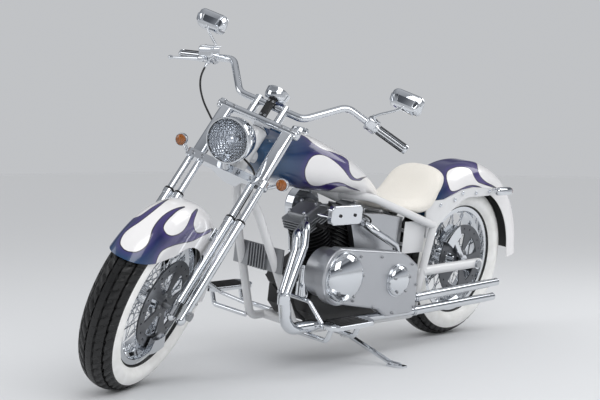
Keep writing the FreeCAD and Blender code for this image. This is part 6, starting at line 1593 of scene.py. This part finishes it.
class CHOPPER_OT_stage(PieceOperator, bpy.types.Operator):
    """Pale floor, soft lamps, white surroundings and the camera"""
    bl_idname = "chopper.stage"
    bl_label = "Stage"

    def build(self, sizes, colours):
        fresh()
        bpy.ops.mesh.primitive_plane_add(size=60, location=(0, 0, 0))
        floor = bpy.context.object
        floor.name = "studio_floor"
        floor.data.materials.append(paper_material("studio_paper", colours.floor))
        for name, place, size, power in LAMPS:
            bpy.ops.object.light_add(type="AREA", location=place)
            lamp = bpy.context.object
            lamp.name = name
            lamp.data.size = size
            lamp.data.energy = power
            lamp.rotation_euler = (Vector((0, 0, 0.45)) - Vector(place)).to_track_quat(
                "-Z", "Y").to_euler()
        self.world(colours.floor)
        self.camera()
        scene = bpy.context.scene
        scene.view_settings.view_transform = "Standard"

    def world(self, colour):
        """Even light on the object; the camera, metal and glass see the pale surroundings."""
        world = bpy.data.worlds.new("studio")
        world.use_nodes = True
        bpy.context.scene.world = world
        tree = world.node_tree
        tree.nodes.clear()
        ray = add_node(tree, "ShaderNodeLightPath").outputs
        camera = ray["Is Camera Ray"]
        shown = calc(tree, "MAXIMUM", calc(tree, "MAXIMUM", camera, ray["Is Glossy Ray"]),
                     ray["Is Transmission Ray"])
        place = add_node(tree, "ShaderNodeTexCoord").outputs["Generated"]
        height = add_node(tree, "ShaderNodeSeparateXYZ", {"Vector": place}).outputs["Z"]
        room = colour_ramp(tree, height, [(stop, linear(code)) for stop, code in ROOM_STOPS])
        light, surroundings, backdrop = (
            add_node(tree, "ShaderNodeBackground",
                     {"Color": tone, "Strength": strength}).outputs[0]
            for tone, strength in (((1, 1, 1, 1), WORLD_LIGHT), (room, 1.0),
                                   (full(colour), WORLD_LIGHT)))
        view = add_node(tree, "ShaderNodeMixShader",
                        {0: camera, 1: surroundings, 2: backdrop}).outputs[0]
        either = add_node(tree, "ShaderNodeMixShader", {0: shown, 1: light, 2: view}).outputs[0]
        add_node(tree, "ShaderNodeOutputWorld", {"Surface": either})

    def camera(self):
        """The photograph's viewing angle, fitted to both wheels."""
        bpy.ops.object.camera_add(location=CAMERA_PLACE)
        camera = bpy.context.object
        turn = CAMERA_AIM.to_track_quat("-Z", "Y").to_matrix().to_4x4()
        camera.matrix_world = (Matrix.Translation(CAMERA_PLACE) @ turn
                               @ Matrix.Rotation(CAMERA_ROLL, 4, "Z"))
        camera.data.lens = CAMERA_LENS
        camera.data.sensor_width = SENSOR_WIDTH
        bpy.context.scene.camera = camera


class CHOPPER_PT_panel(bpy.types.Panel):
    """Lists the operators in the sidebar."""
    bl_idname = "CHOPPER_PT_panel"
    bl_label = "Chopper"
    bl_space_type = "VIEW_3D"
    bl_region_type = "UI"
    bl_category = "Chopper"

    def draw(self, context):
        for operator in OPERATORS:
            self.layout.operator(operator.bl_idname)
        for name in ChopperSizes.__annotations__:
            self.layout.prop(context.scene.chopper_sizes, name)
        for name in ChopperColours.__annotations__:
            self.layout.prop(context.scene.chopper_colours, name)


OPERATORS = (
    CHOPPER_OT_finishes, CHOPPER_OT_tyres, CHOPPER_OT_wheel_trim, CHOPPER_OT_painted_panels,
    CHOPPER_OT_saddle, CHOPPER_OT_headlamp, CHOPPER_OT_signals, CHOPPER_OT_instruments,
    CHOPPER_OT_mirrors, CHOPPER_OT_controls, CHOPPER_OT_fork_trim, CHOPPER_OT_engine_trim,
    CHOPPER_OT_cover_trim, CHOPPER_OT_frame_trim, CHOPPER_OT_exhaust_trim,
    CHOPPER_OT_brake_hose, CHOPPER_OT_stage,
)


def register():
    for kind in (ChopperColours, ChopperSizes, *OPERATORS, CHOPPER_PT_panel):
        bpy.utils.register_class(kind)
    bpy.types.Scene.chopper_colours = bpy.props.PointerProperty(type=ChopperColours)
    bpy.types.Scene.chopper_sizes = bpy.props.PointerProperty(type=ChopperSizes)


def unregister():
    del bpy.types.Scene.chopper_sizes
    del bpy.types.Scene.chopper_colours
    for kind in reversed((ChopperColours, ChopperSizes, *OPERATORS, CHOPPER_PT_panel)):
        bpy.utils.unregister_class(kind)


def main():
    """Registers the add-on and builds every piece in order."""
    register()
    for operator in OPERATORS:
        group, name = operator.bl_idname.split(".")
        getattr(getattr(bpy.ops, group), name)()


if __name__ == "__main__":
    main()
